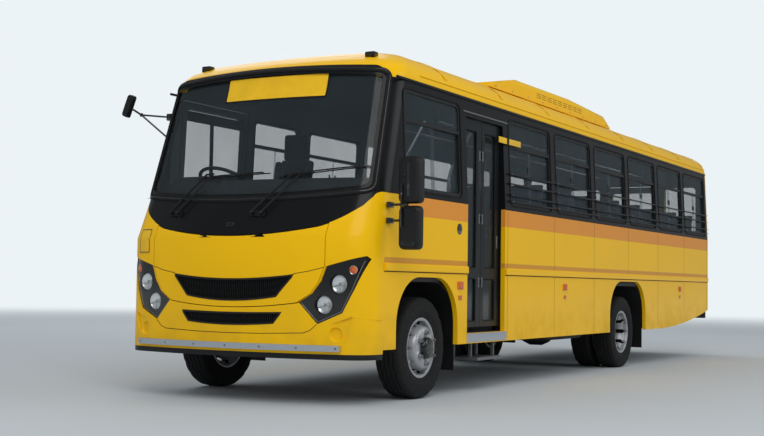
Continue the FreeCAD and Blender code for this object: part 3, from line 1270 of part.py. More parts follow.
rearReach = size("wheelbase") + size("rearOverhang")
bumper = slab((-1040, 1040), (rearReach - 62, rearReach), (500, 640))
bumper = bumper.makeFillet(20, [edge for edge in bumper.Edges
                                if abs(edge.tangentAt(edge.FirstParameter).x) > 0.9])
bumperParts = [bumper]
for side in (1, -1):
    bracket = sorted((side * (size("railHalf") - 14), side * (size("railHalf") + 40)))
    bumperParts.append(slab(bracket, (size("railRearY") + 0.3, rearReach - 62.3), (600, 636)))
node("rear_bumper", shaped("RearBumper", Part.makeCompound(bumperParts)))


def strut(first, second, radius):
    return Part.makeCylinder(radius, (second - first).Length, first, second - first)


def mirrorSet():
    """Two mirror heads on an upright tube, held by two arms from the left front corner."""
    rodX = 1284
    rodY = -740
    parts = Part.makeCylinder(11, 640, Vector(rodX, rodY, 1180), Vector(0, 0, 1))
    for height in (1372, 1490):
        parts = parts.fuse(Part.makeCylinder(10, 150, Vector(rodX, rodY, height), Vector(-1, 0.12, 0)))
        parts = parts.fuse(slab((halfBody + 0.3, halfBody + 34), (-760, -690), (height - 22, height + 22)))
    out = size("mirrorOutX")
    for low, high, inset in ((1495, 1845, 0), (1155, 1480, 6)):
        x = (out - size("mirrorWidth") + inset, out - inset)
        head = slab(x, (rodY - 45, rodY + 35), (low, high))
        head = head.makeFillet(26, [edge for edge in head.Edges if edge.CenterOfMass.y < rodY + 30])
        head = head.cut(slab((x[0] + 10, x[1] - 10), (rodY + 29, rodY + 40), (low + 10, high - 10)))
        parts = parts.fuse(head)
    return parts


# The right mirror: a small tilted head on two arms that meet, from pads on the corner pillar.
smallCentre = Vector(-1350, -780, 2367)
smallElbow = Vector(-1300, -680, 2302)
smallTilt = 22
smallHead = slab((smallCentre.x - 32, smallCentre.x + 32), (smallCentre.y - 27, smallCentre.y + 27),
                 (smallCentre.z - 96, smallCentre.z + 96))
smallHead = smallHead.makeFillet(16, smallHead.Edges).Solids[0]
smallHead.rotate(smallCentre, Vector(0, 1, 0), smallTilt)
smallHead.translate(Vector(-size("mirrorOutX") - smallHead.optimalBoundingBox().XMin, 0, 0))
smallMirror = smallHead.fuse(strut(smallElbow, smallHead.CenterOfMass, 9))
for height in (2285, 2090):
    smallMirror = smallMirror.fuse(slab((-1110, -1020), (-590, -530), (height - 30, height + 30)))
    smallMirror = smallMirror.fuse(strut(Vector(-1070, -560, height), smallElbow, 8))
smallMirror = smallMirror.cut(outerForm)
mirrors = [mirrorSet(), smallMirror]
node("mirrors", shaped("Mirrors", Part.makeCompound(mirrors)))


def frontSurface(x, z, proud):
    """A point in front of the front face."""
    half, front, _ = bodySection(z, 0)
    radius = size("frontFaceRadius")
    corner = size("frontCornerRadius")
    centre, meet = cornerArc(half, front, radius, corner, 1)
    if abs(x) <= meet.x:
        y = front + radius - math.sqrt(radius ** 2 - x ** 2)
    else:
        y = centre.y - math.sqrt(max(0, corner ** 2 - (abs(x) - centre.x) ** 2))
    return Vector(x, y - proud, z)


wiperSets = []
for pivot, tip, blade in (((-662, 1432), (-369, 1729), ((-488, 1711), (221, 1739))),
                          ((154, 1418), (433, 1716), ((303, 1700), (985, 1772)))):
    base = frontSurface(pivot[0], pivot[1], 34)
    top = frontSurface(tip[0], tip[1], 34)
    wiper = strut(frontSurface(pivot[0], pivot[1], -8), base + Vector(0, -6, 0), 15)
    wiper = wiper.fuse(strut(base, top, 8))
    middle = frontSurface((blade[0][0] + blade[1][0]) / 2, (blade[0][1] + blade[1][1]) / 2, 22)
    wiper = wiper.fuse(strut(frontSurface(blade[0][0], blade[0][1], 22), middle, 7))
    wiper = wiper.fuse(strut(middle, frontSurface(blade[1][0], blade[1][1], 22), 7))
    wiper = wiper.fuse(strut(top, frontSurface(tip[0], tip[1], 16), 8))
    wiperSets.append(wiper.cut(outerForm))
node("wipers", shaped("Wipers", Part.makeCompound(wiperSets)))

# Mud flaps behind the wheels.
flaps = []
for side in (1, -1):
    for y, x, width, top in ((size("frontArchY") + size("frontArchHalf") + 20.3, 940, 280, 505),
                             (size("wheelbase") + size("rearArchHalf") + 20.3, 810, 520, 540)):
        flaps.append(slab((side * x - width / 2, side * x + width / 2), (y, y + 8), (200, top)))
node("wheel_arch_liners", shaped("WheelArchLiners", Part.makeCompound(housingParts + flaps)))

# Dashboard, engine cover, driver's seat and steering wheel.
dashTop = 1700
dashEdges = [(-1150, 975), (-800, 975), (-740, 1180), (-720, 1440), (-690, 1640), (-715, dashTop),
             (-1150, dashTop)]
hoodEdges = [(-860, dashTop - 30), (-835, 1738), (-725, 1755), (-690, 1730), (-705, dashTop - 30)]
hoodX = (-860, -260)
dash = Part.Face(Part.makePolygon([Vector(-farX, y, z) for y, z in dashEdges + dashEdges[:1]]))
dash = dash.extrude(Vector(2 * farX, 0, 0))
hood = Part.Face(Part.makePolygon([Vector(hoodX[0], y, z) for y, z in hoodEdges + hoodEdges[:1]]))
dash = dash.fuse(hood.extrude(Vector(hoodX[1] - hoodX[0], 0, 0)))
dash = dash.common(bodySolid(wall + 66, size("floorTop") + 0.3, dashTop + 60))
coverOuter = slab((-340, 340), (-715, 390), (size("floorTop") + 0.3, 1290))
coverOuter = coverOuter.makeFillet(60, [edge for edge in coverOuter.Edges if edge.CenterOfMass.z > 1200])
coverInner = slab((-300, 300), (-716, 352), (size("floorTop") - 1, 1250))

driverX = -560
seatCushion = slab((driverX - 230, driverX + 230), (40, 520), (1400, 1500))
seatCushion = seatCushion.makeFillet(35, seatCushion.Edges)
driverBackEdges = [(430, 1470), (520, 1460), (610, 2030), (540, 2060)]
backPoints = [Vector(driverX - 210, y, z) for y, z in driverBackEdges + driverBackEdges[:1]]
back = Part.Face(Part.makePolygon(backPoints)).extrude(Vector(420, 0, 0))
back = back.makeFillet(28, back.Edges)
headrest = slab((driverX - 130, driverX + 130), (555, 630), (2040, 2260))
headrest = headrest.makeFillet(30, headrest.Edges)
pedestal = slab((driverX - 160, driverX + 160), (120, 460), (size("floorTop") + 0.3, 1420))
node("driver_seat", shaped("DriverSeat", seatCushion.fuse(back).fuse(headrest).fuse(pedestal)))

wheelCentre = Vector(driverX, -480, 1720)
columnAxis = Vector(0, -0.5, -0.866)
steeringRadius = 215
steering = Part.makeTorus(steeringRadius, 15, wheelCentre, columnAxis)
steering = steering.fuse(Part.makeCylinder(48, 40, wheelCentre, columnAxis))
for angle in (90, 210, 330):
    turn = math.radians(angle)
    spoke = Vector(math.cos(turn), -columnAxis.z * math.sin(turn), columnAxis.y * math.sin(turn))
    inner = wheelCentre + spoke * 20 + columnAxis * 12
    steering = steering.fuse(strut(inner, wheelCentre + spoke * (steeringRadius - 3), 9))
columnEnd = wheelCentre + columnAxis * ((wheelCentre.z - size("floorTop") - 20) / -columnAxis.z)
steering = steering.fuse(strut(wheelCentre + columnAxis * 10, columnEnd, 30))


def columnFoot(half, low, high):
    """A square plate round the column's lower end."""
    return slab((driverX - half, driverX + half), (columnEnd.y - half, columnEnd.y + half), (low, high))


foot = columnFoot(60, size("floorTop") + 0.3, size("floorTop") + 60)
node("steering_column", shaped("SteeringColumn", steering.fuse(foot)))
columnHole = strut(wheelCentre, columnEnd + columnAxis * 40, 36)
footHole = columnFoot(66, 0, size("floorTop") + 66)
dash = dash.cut(columnHole).cut(footHole)
node("dashboard", shaped("Dashboard", Part.makeCompound([dash, coverOuter.cut(coverInner)])))

# Passenger seats: a bench with its back, legs and a grab rail, in rows on both sides of the aisle.
benchWidth = 850
benchTop = size("floorTop")
cushionEdges = [(0, 400), (10, 470), (400, 450), (426, 385)]
backEdges = [(400.3, 450.3), (470, 940), (530, 940), (470, 380), (426.3, 385)]
footWidth = 40


def bench(x, y):
    """The solids of one bench: its cushion on four feet, and its back."""
    solids = []
    for edges in (cushionEdges, backEdges):
        points = [Vector(x, y + along, benchTop + up) for along, up in edges + edges[:1]]
        solids.append(Part.Face(Part.makePolygon(points)).extrude(Vector(benchWidth, 0, 0)))
    for place in (x + 90, x + benchWidth - 130):
        for along in (60, 350):
            foot = slab((place, place + footWidth), (y + along, y + along + footWidth),
                        (benchTop + 0.3, benchTop + 410))
            solids[0] = solids[0].fuse(foot)
    return solids


benches = []
for row in range(int(size("seatRows"))):
    y = size("seatFrontY") + row * size("seatPitch")
    benches += bench(halfBody - wall - benchWidth - 12, y)
    benches += bench(-halfBody + wall + 12, y)
benches += bench(-halfBody + wall + 12, size("seatFrontY") - size("seatPitch"))
node("passenger_seats", shaped("PassengerSeats", Part.makeCompound(benches)))


doc.recompute()
for item in doc.Objects:
    if "Invalid" in item.State or "Error" in item.State:
        raise RuntimeError("%s failed: %s" % (item.Label, item.State))
for item in nodes:
    if item.Shape.isNull() or not item.Shape.isValid():
        raise RuntimeError("%s has no valid shape" % item.Label)
os.makedirs("parts", exist_ok=True)
for item in nodes:
    item.Shape.exportStep("parts/%s.step" % item.Label)
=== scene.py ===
import json
import math

import bmesh
import bpy
from mathutils import Matrix, Vector


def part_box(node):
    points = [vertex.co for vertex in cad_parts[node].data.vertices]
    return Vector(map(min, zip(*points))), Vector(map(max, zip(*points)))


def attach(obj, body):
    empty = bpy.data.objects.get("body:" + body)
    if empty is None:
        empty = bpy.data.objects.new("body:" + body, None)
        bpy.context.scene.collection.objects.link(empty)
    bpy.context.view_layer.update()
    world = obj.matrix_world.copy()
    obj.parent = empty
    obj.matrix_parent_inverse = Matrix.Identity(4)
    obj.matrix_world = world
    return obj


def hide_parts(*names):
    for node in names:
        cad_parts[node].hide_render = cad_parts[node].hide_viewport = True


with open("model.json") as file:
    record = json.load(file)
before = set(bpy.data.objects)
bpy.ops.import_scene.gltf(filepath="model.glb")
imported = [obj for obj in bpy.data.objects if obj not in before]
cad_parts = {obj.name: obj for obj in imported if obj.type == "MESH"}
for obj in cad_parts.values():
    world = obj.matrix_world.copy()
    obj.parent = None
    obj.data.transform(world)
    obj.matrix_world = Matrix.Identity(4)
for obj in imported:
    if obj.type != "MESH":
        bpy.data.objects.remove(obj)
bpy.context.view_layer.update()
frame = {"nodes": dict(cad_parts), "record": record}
nodes = frame["nodes"]
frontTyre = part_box("tyre_front_left")
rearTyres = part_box("tyres_rear_left")
axleY = (frontTyre[0].y + frontTyre[1].y) / 2
rearAxleY = (rearTyres[0].y + rearTyres[1].y) / 2
axleZ = (frontTyre[0].z + frontTyre[1].z) / 2
bodyNames = {name: body for body, names in frame["record"]["behaviour"]["bodies"].items() for name in names}
scene = bpy.context.scene
print("frame loaded")


def linked(name, data):
    item = bpy.data.objects.new(name, data)
    scene.collection.objects.link(item)
    return item


# Camera at the photograph's place: its distances along the bus are from the front axle.
view = {"place": (5.5865, -8.7730, 0.8911), "azimuth": 29.287, "pitch": 3.114, "roll": 0.81298, "lens": 58.42}


def makeCamera(values):
    turn, rise, roll = (math.radians(values[key]) for key in ("azimuth", "pitch", "roll"))
    ahead = Vector((-math.sin(turn) * math.cos(rise), math.cos(turn) * math.cos(rise), math.sin(rise)))
    right = Vector((math.cos(turn), math.sin(turn), 0))
    up = right.cross(ahead)
    side = right * math.cos(roll) + up * math.sin(roll)
    top = up * math.cos(roll) - right * math.sin(roll)
    data = bpy.data.cameras.new("photoCamera")
    data.lens = values["lens"]
    data.sensor_width = 36
    data.clip_start = 0.05
    data.clip_end = 400
    camera = linked("photoCamera", data)
    place = Vector(values["place"]) + Vector((0, axleY, 0))
    camera.matrix_world = Matrix.Translation(place) @ Matrix((side, top, -ahead)).transposed().to_4x4()
    scene.camera = camera


makeCamera(view)

# Node graphs: Graph adds nodes to a tree, Value lets sums of sockets read as sums.
class Value:
    def __init__(self, graph, socket):
        self.graph = graph
        self.socket = socket

    def sum(self, kind, other, swapped=False):
        first, second = (other, self) if swapped else (self, other)
        item = self.graph.node("ShaderNodeMath", {"operation": kind}, {0: first, 1: second})
        return Value(self.graph, item.outputs[0])

    def __add__(self, other):
        return self.sum("ADD", other)

    def __mul__(self, other):
        return self.sum("MULTIPLY", other)

    def __sub__(self, other):
        return self.sum("SUBTRACT", other)

    def __rsub__(self, other):
        return self.sum("SUBTRACT", other, True)

    def __pow__(self, other):
        return self.sum("POWER", other)

    def __abs__(self):
        return self.sum("ABSOLUTE", 0.0)

    __radd__ = __add__
    __rmul__ = __mul__


class Graph:
    def __init__(self, tree):
        self.tree = tree

    def carried(self, name):
        # A vector that every point carries.
        return self.node("GeometryNodeInputNamedAttribute", {"data_type": "FLOAT_VECTOR"}, {0: name}).outputs[0]

    def node(self, kind, settings=None, values=None):
        item = self.tree.nodes.new(kind)
        for key, setting in (settings or {}).items():
            setattr(item, key, setting)
        for key, value in (values or {}).items():
            value = value.socket if isinstance(value, Value) else value
            if isinstance(value, bpy.types.NodeSocket):
                self.tree.links.new(value, item.inputs[key])
            else:
                item.inputs[key].default_value = value
        return item


class Finish(Graph):
    def __init__(self, fixed, name="finish"):
        self.material = bpy.data.materials.new(name)
        self.material.use_nodes = True
        super().__init__(self.material.node_tree)
        self.tree.nodes.clear()
        self.shader = self.node("ShaderNodeBsdfPrincipled", {}, fixed)
        self.out = self.node("ShaderNodeOutputMaterial", {}, {"Surface": self.shader.outputs[0]})
        self.place = self.node("ShaderNodeTexCoord").outputs["Object"]
        parts = self.node("ShaderNodeSeparateXYZ", {}, {0: self.place})
        self.x, self.y, self.z = (Value(self, parts.outputs[index]) for index in range(3))

    def noise(self, scale, detail=3, stretch=None):
        where = self.place
        if stretch:
            where = self.node("ShaderNodeMapping", {}, {"Vector": self.place, "Scale": stretch}).outputs[0]
        item = self.node("ShaderNodeTexNoise", {}, {"Vector": where, "Scale": scale, "Detail": detail})
        return Value(self, item.outputs[0])

    def wave(self, way, scale, distortion=0.0):
        item = self.node("ShaderNodeTexWave", {"bands_direction": way},
                         {"Vector": self.place, "Scale": scale, "Distortion": distortion})
        return Value(self, item.outputs[1])

    def rise(self, value, low, high):
        item = self.node("ShaderNodeMapRange", {"interpolation_type": "SMOOTHSTEP"},
                         {0: value, 1: low, 2: high, 3: 0.0, 4: 1.0})
        return Value(self, item.outputs[0])

    def band(self, value, low, high, edge=0.001):
        return self.rise(value, low - edge, low + edge) * (1 - self.rise(value, high - edge, high + edge))

    def mix(self, share, first, second):
        return self.node("ShaderNodeMix", {"data_type": "RGBA"}, {0: share, 6: first, 7: second}).outputs[2]

    def bump(self, height, distance, strength=1.0):
        return self.node("ShaderNodeBump", {}, {"Height": height, "Distance": distance,
                                                "Strength": strength}).outputs[0]

    def wear(self, values):
        for key, value in values.items():
            self.tree.links.new(value.socket if isinstance(value, Value) else value, self.shader.inputs[key])
        return self.material


def tone(red, green, blue):
    # A screen colour from 0 to 255 as the linear colour that Blender reads.
    parts = []
    for part in (red, green, blue):
        part /= 255
        parts.append(part / 12.92 if part <= 0.04045 else ((part + 0.055) / 1.055) ** 2.4)
    return (*parts, 1.0)


def shade(colour, share):
    return (*(min(1.0, part * share) for part in colour[:3]), 1.0)


# Body paint, with the stripes along the sides and road dust near the skirt.
stripes = {"upper": (1.432, 1.583), "upperStart": -0.40, "lower": (1.062, 1.103), "lowerStart": -0.776,
           "upperColour": tone(226, 146, 50), "lowerColour": tone(208, 146, 46)}
dust = {"colour": tone(120, 100, 60), "low": 0.30, "high": 0.95}


def coachPaint(colour, rough=0.36, striped=False, coat=0.12, dusty=0.22, above=None):
    finish = Finish({"Coat Weight": coat, "Coat Roughness": 0.10, "Specular IOR Level": 0.14})
    cloud = finish.noise(0.8, 2)
    base = finish.mix(cloud, shade(colour, 0.95), shade(colour, 1.04))
    if striped:
        sides = finish.rise(abs(finish.x), 1.085, 1.090)
        for key in ("upper", "lower"):
            start = axleY + stripes[key + "Start"]
            mask = finish.band(finish.z, *stripes[key]) * sides * finish.rise(finish.y, start, start + 0.002)
            base = finish.mix(mask, base, stripes[key + "Colour"])
    splash = (1 - finish.rise(finish.z, dust["low"], dust["high"])) * finish.rise(finish.noise(5, 6), 0.35, 0.75)
    base = finish.mix(splash * dusty, base, dust["colour"])
    if above:
        base = finish.mix(finish.rise(finish.z, 1.5835, 1.5845), base, above)
    ripple = finish.bump(finish.noise(2.2, 2) * 0.8 + finish.noise(240, 2) * 0.006, 0.004, 0.3)
    return finish.wear({"Base Color": base, "Roughness": cloud * 0.08 + splash * 0.25 + (rough - 0.04),
                        "Normal": ripple})


def plastic(colour, rough=0.5, grain=420, coat=0.0):
    finish = Finish({"Coat Weight": coat, "Coat Roughness": 0.06, "Specular IOR Level": 0.35})
    cloud = finish.noise(7, 3)
    base = finish.mix(cloud, shade(colour, 0.85), shade(colour, 1.2))
    return finish.wear({"Base Color": base, "Roughness": cloud * 0.18 + (rough - 0.09),
                        "Normal": finish.bump(finish.noise(grain, 2), 0.0006, 0.5)})


def rubber(colour, dusty=0.35):
    finish = Finish({"Specular IOR Level": 0.3})
    scuff = finish.rise(finish.noise(60, 5), 0.52, 0.8)
    base = finish.mix(finish.noise(14, 4), shade(colour, 0.8), shade(colour, 1.3))
    base = finish.mix(scuff * dusty, base, tone(84, 80, 72))
    return finish.wear({"Base Color": base, "Roughness": 0.84 - scuff * 0.1,
                        "Normal": finish.bump(finish.noise(300, 3), 0.0008, 0.6)})


def metalPaint(colour, rough=0.4, metal=0.0, rust=0.0, grain=90):
    finish = Finish({"Metallic": metal, "Specular IOR Level": 0.45})
    cloud = finish.noise(5, 4)
    base = finish.mix(cloud, shade(colour, 0.85), shade(colour, 1.15))
    if rust:
        base = finish.mix(finish.rise(finish.noise(28, 6), 0.60, 0.72) * rust, base, tone(96, 58, 34))
    return finish.wear({"Base Color": base, "Roughness": cloud * 0.2 + (rough - 0.1),
                        "Normal": finish.bump(finish.noise(grain, 4), 0.0012, 0.4)})


def paneGlass(colour, alpha, rough=0.03):
    finish = Finish({"IOR": 1.5, "Specular IOR Level": 0.6})
    smear = finish.noise(3.5, 4, (1, 1, 0.4))
    base = finish.mix(smear, shade(colour, 0.85), shade(colour, 1.15))
    return finish.wear({"Base Color": base, "Roughness": smear * 0.06 + rough,
                        "Alpha": smear * 0.10 + (alpha - 0.05)})


def lampGlass(colour, alpha, ribs=0):
    finish = Finish({"IOR": 1.5, "Specular IOR Level": 0.7, "Coat Weight": 0.6, "Coat Roughness": 0.05})
    cloud = finish.noise(40, 3)
    height = finish.wave("Z", ribs) if ribs else finish.noise(120, 2)
    base = finish.mix(cloud, shade(colour, 0.9), shade(colour, 1.1))
    return finish.wear({"Base Color": base, "Roughness": cloud * 0.1 + 0.08,
                        "Normal": finish.bump(height, 0.002, 0.6), "Alpha": cloud * 0.1 + (alpha - 0.05)})


def bareMetal(colour, rough=0.25, brush=None):
    finish = Finish({"Metallic": 1.0})
    streak = finish.noise(90, 4, brush)
    base = finish.mix(streak, shade(colour, 0.88), shade(colour, 1.1))
    return finish.wear({"Base Color": base, "Roughness": streak * 0.15 + (rough - 0.07),
                        "Normal": finish.bump(streak, 0.0005, 0.3)})


def weave(colour, other, scale=330):
    finish = Finish({"Sheen Weight": 0.35, "Sheen Roughness": 0.5, "Specular IOR Level": 0.2})
    cloth = (finish.wave("X", scale, 1.2) + finish.wave("Y", scale, 1.2) + finish.wave("Z", scale, 1.2)) * 0.33
    cloud = finish.noise(6, 4)
    return finish.wear({"Base Color": finish.mix(cloth * 0.6 + cloud * 0.4, colour, other),
                        "Roughness": cloud * 0.1 + 0.8, "Normal": finish.bump(cloth, 0.0012, 0.7)})


yellow = tone(246, 190, 0)
black = tone(17, 18, 20)
finishes = {
    "bodyYellow": coachPaint(yellow),
    "sideYellow": coachPaint(yellow, striped=True),
    "roofYellow": coachPaint(yellow, dusty=0),
    "driverDoorPaint": coachPaint(yellow, striped=True, above=black),
    "doorPaint": coachPaint(tone(24, 28, 31), 0.34, dusty=0.3),
    "blackPaint": coachPaint(black, 0.34, dusty=0.1),
    "lining": plastic(tone(74, 79, 79), 0.7, 150),
    "chassisBlack": metalPaint(tone(30, 30, 31), 0.6, rust=0.25),
    "castIron": metalPaint(tone(44, 43, 42), 0.7, rust=0.5),
    "tyreRubber": rubber(tone(26, 26, 27), 0.25),
    "wheelSilver": metalPaint(tone(172, 174, 178), 0.38, 0.45),
    "windscreenGlass": paneGlass(tone(58, 68, 73), 0.22),
    "sideGlass": paneGlass(tone(58, 72, 78), 0.27),
    "doorGlass": paneGlass(tone(46, 54, 58), 0.45),
    "trimBlack": plastic(tone(20, 20, 22), 0.45),
    "sealRubber": rubber(tone(20, 20, 21), 0.12),
    "grilleBlack": plastic(tone(12, 12, 13), 0.5),
    "housingBlack": plastic(tone(10, 10, 11), 0.22, 300, 0.5),
    "gloss": plastic(tone(26, 28, 30), 0.12, 200, 0.8),
    "lampClear": lampGlass(tone(232, 238, 242), 0.16),
    "lampRed": lampGlass(tone(150, 12, 10), 0.95, 60),
    "lampAmber": lampGlass(tone(224, 98, 8), 0.95, 60),
    "lampWhite": lampGlass(tone(206, 200, 190), 0.9, 60),
    "reflector": bareMetal(tone(244, 246, 248), 0.22),
    "mirrorFace": bareMetal(tone(200, 208, 214), 0.04),
    "chrome": bareMetal(tone(232, 236, 240), 0.10),
    "zinc": bareMetal(tone(150, 152, 154), 0.38),
    "silverStrip": bareMetal(tone(206, 212, 220), 0.40, (0.05, 1, 1)),
    "floorRubber": rubber(tone(58, 58, 60)),
    "steelGrey": metalPaint(tone(120, 122, 124), 0.45, 0.6),
    "benchCloth": weave(tone(38, 52, 84), tone(22, 30, 52)),
    "driverCloth": weave(tone(32, 32, 34), tone(18, 18, 20)),
    "dashGrey": plastic(tone(34, 35, 37), 0.6),
    "signYellow": plastic(tone(236, 184, 8), 0.4, 300, 0.2),
}
for name, material in finishes.items():
    material.name = name
print("finishes made")

# The body's skin: a plan section of arcs at each height, which leans back above the nose.
skin = {"half": 1.125, "gutterHalf": 1.085, "front": -1.163, "rear": 8.595, "frontRadius": 3.775,
        "frontCorner": 0.250, "rearRadius": 9.0, "rearCorner": 0.130, "waist": 1.585, "gutter": 2.490,
        "noseBreak": 1.240, "cowl": 1.551, "cowlBack": 0.142, "gutterBack": 0.445, "rise": 0.360,
        "curve": 2.35, "frontDome": 1.8, "rearDome": 0.9}
cabinFloor = 0.980


def section(z):
    # Half width, front face and rear face of the body at one height, from the front axle.
    half = skin["half"]
    if z > skin["waist"]:
        half -= (min(z, skin["gutter"]) - skin["waist"]) / (skin["gutter"] - skin["waist"]) * (
            skin["half"] - skin["gutterHalf"])
    lean = 0
    if z > skin["cowl"]:
        share = (min(z, skin["gutter"]) - skin["cowl"]) / (skin["gutter"] - skin["cowl"])
        lean = skin["cowlBack"] + (skin["gutterBack"] - skin["cowlBack"]) * share
    elif z > skin["noseBreak"]:
        lean = skin["cowlBack"] * (z - skin["noseBreak"]) / (skin["cowl"] - skin["noseBreak"])
    front = skin["front"] + lean
    rear = skin["rear"]
    if z > skin["gutter"]:
        share = min((z - skin["gutter"]) / skin["rise"], 0.9995)
        spread = (1 - share ** skin["curve"]) ** (1 / skin["curve"])
        half *= spread
        front += skin["frontDome"] * (1 - spread)
        rear -= skin["rearDome"] * (1 - spread)
    return half, front, rear


def corner(half, face, end):
    # The corner arc of a section: its centre and radius; end is 1 at the front and -1 at the rear.
    big = skin["frontRadius"] if end > 0 else skin["rearRadius"]
    small = min(skin["frontCorner"] if end > 0 else skin["rearCorner"], 0.6 * half)
    reach = math.sqrt((big - small) ** 2 - (half - small) ** 2)
    return half - small, face + end * (big - reach), small, big


def planNormal(x, y, z):
    half, front, rear = section(z)
    for end, face in ((1, front), (-1, rear)):
        centreX, centreY, small, big = corner(half, face, end)
        if (y - centreY) * end < 0:
            if abs(x) > centreX * big / (big - small):
                return Vector((math.copysign(abs(x) - centreX, x), y - centreY, 0)).normalized(), end
            return Vector((x, y - (face + end * big), 0)).normalized(), end
    return Vector((math.copysign(1, x), 0, 0)), 0


def skinNormal(x, y, z, blur=0.06):
    flat, end = planNormal(x, y, z)
    low, high = section(z - blur), section(z + blur)
    step = [(second - first) / (2 * blur) for first, second in zip(low, high)]
    along = step[1] if end > 0 else step[2] if end < 0 else (step[1] if y < 0 else step[2])
    lift = abs(flat.x) * step[0] + flat.y * along
    return Vector((flat.x, flat.y, -lift)).normalized()


def place(x, y, z):
    return Vector((x, y + axleY, z))


def wayAt(spot):
    # The way the skin faces at a point of the scene; the next three do it for a place on its front, side or rear.
    return skinNormal(spot.x, spot.y - axleY, spot.z)


def frontWay(x, z):
    return skinNormal(x, -1.0, z)


def sideWay(side, z):
    return skinNormal(side, 3.0, z)


def rearWay(x, z):
    return skinNormal(x, 8.55, z)


def onFront(x, z, out=0.0):
    # A point on the front skin, moved out along its normal.
    half, face, _ = section(z)
    centreX, centreY, small, big = corner(half, face, 1)
    if abs(x) <= centreX * big / (big - small):
        y = face + big - math.sqrt(big ** 2 - x ** 2)
    else:
        y = centreY - math.sqrt(max(0, small ** 2 - (abs(x) - centreX) ** 2))
    return place(x, y, z) + skinNormal(x, y, z) * out


def onSide(side, y, z, out=0.0):
    half = section(z)[0]
    return place(side * half, y, z) + skinNormal(side * half, 3.0, z) * out


def onRear(x, z, out=0.0):
    half, _, face = section(z)
    centreX, centreY, small, big = corner(half, face, -1)
    if abs(x) <= centreX * big / (big - small):
        y = face - big + math.sqrt(big ** 2 - x ** 2)
    else:
        y = centreY + math.sqrt(max(0, small ** 2 - (abs(x) - centreX) ** 2))
    return place(x, y, z) + skinNormal(x, y, z) * out


def addObject(name, mesh, keys, body):
    item = linked(name, mesh)
    if mesh.materials:  # clearing an empty list would still set every face back to the first finish
        mesh.materials.clear()
    for key in keys:
        mesh.materials.append(finishes[key])
    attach(item, body)
    return item


def meshOf(work, name):
    # The finished mesh of a working one, which is freed.
    mesh = bpy.data.meshes.new(name)
    work.to_mesh(mesh)
    work.free()
    return mesh


def softened(mesh, angle):
    mesh.shade_smooth()
    mesh.set_sharp_from_angle(angle=math.radians(angle))
    return mesh


def baked(item):
    # A mesh of the object with its modifiers carried out.
    return bpy.data.meshes.new_from_object(item.evaluated_get(bpy.context.evaluated_depsgraph_get()))


def copyMesh(node):
    work = bmesh.new()
    work.from_mesh(nodes[node].data)
    bmesh.ops.remove_doubles(work, verts=work.verts, dist=0.00003)
    return work


def smoothShell(node, keys, cutters=()):
    # A copy of a shell piece whose curved faces take the skin's own normals; the last finish is for its inner faces.
    mesh = meshOf(copyMesh(node), node + "Skin")
    item = addObject(node + "Skin", mesh, keys, bodyNames[node])
    for cutter in cutters:
        modifier = item.modifiers.new("cut", "BOOLEAN")
        modifier.operation = "DIFFERENCE"
        modifier.solver = "EXACT"
        modifier.object = cutter
    if cutters:
        mesh = baked(item)
        item.modifiers.clear()
        item.data = mesh
    for cutter in cutters:
        bpy.data.objects.remove(cutter)
    normals = []
    limit = math.cos(math.radians(27))
    for face in mesh.polygons:
        agreement = face.normal.dot(wayAt(face.center))
        if agreement < -limit:
            face.material_index = len(keys) - 1
        for index in face.vertices:
            normal = wayAt(mesh.vertices[index].co)
            if agreement > limit:
                normals.append(normal)
            elif agreement < -limit:
                normals.append(-normal)
            else:
                normals.append(face.normal.copy())
        face.use_smooth = True
    mesh.normals_split_custom_set(normals)
    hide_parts(node)
    return item


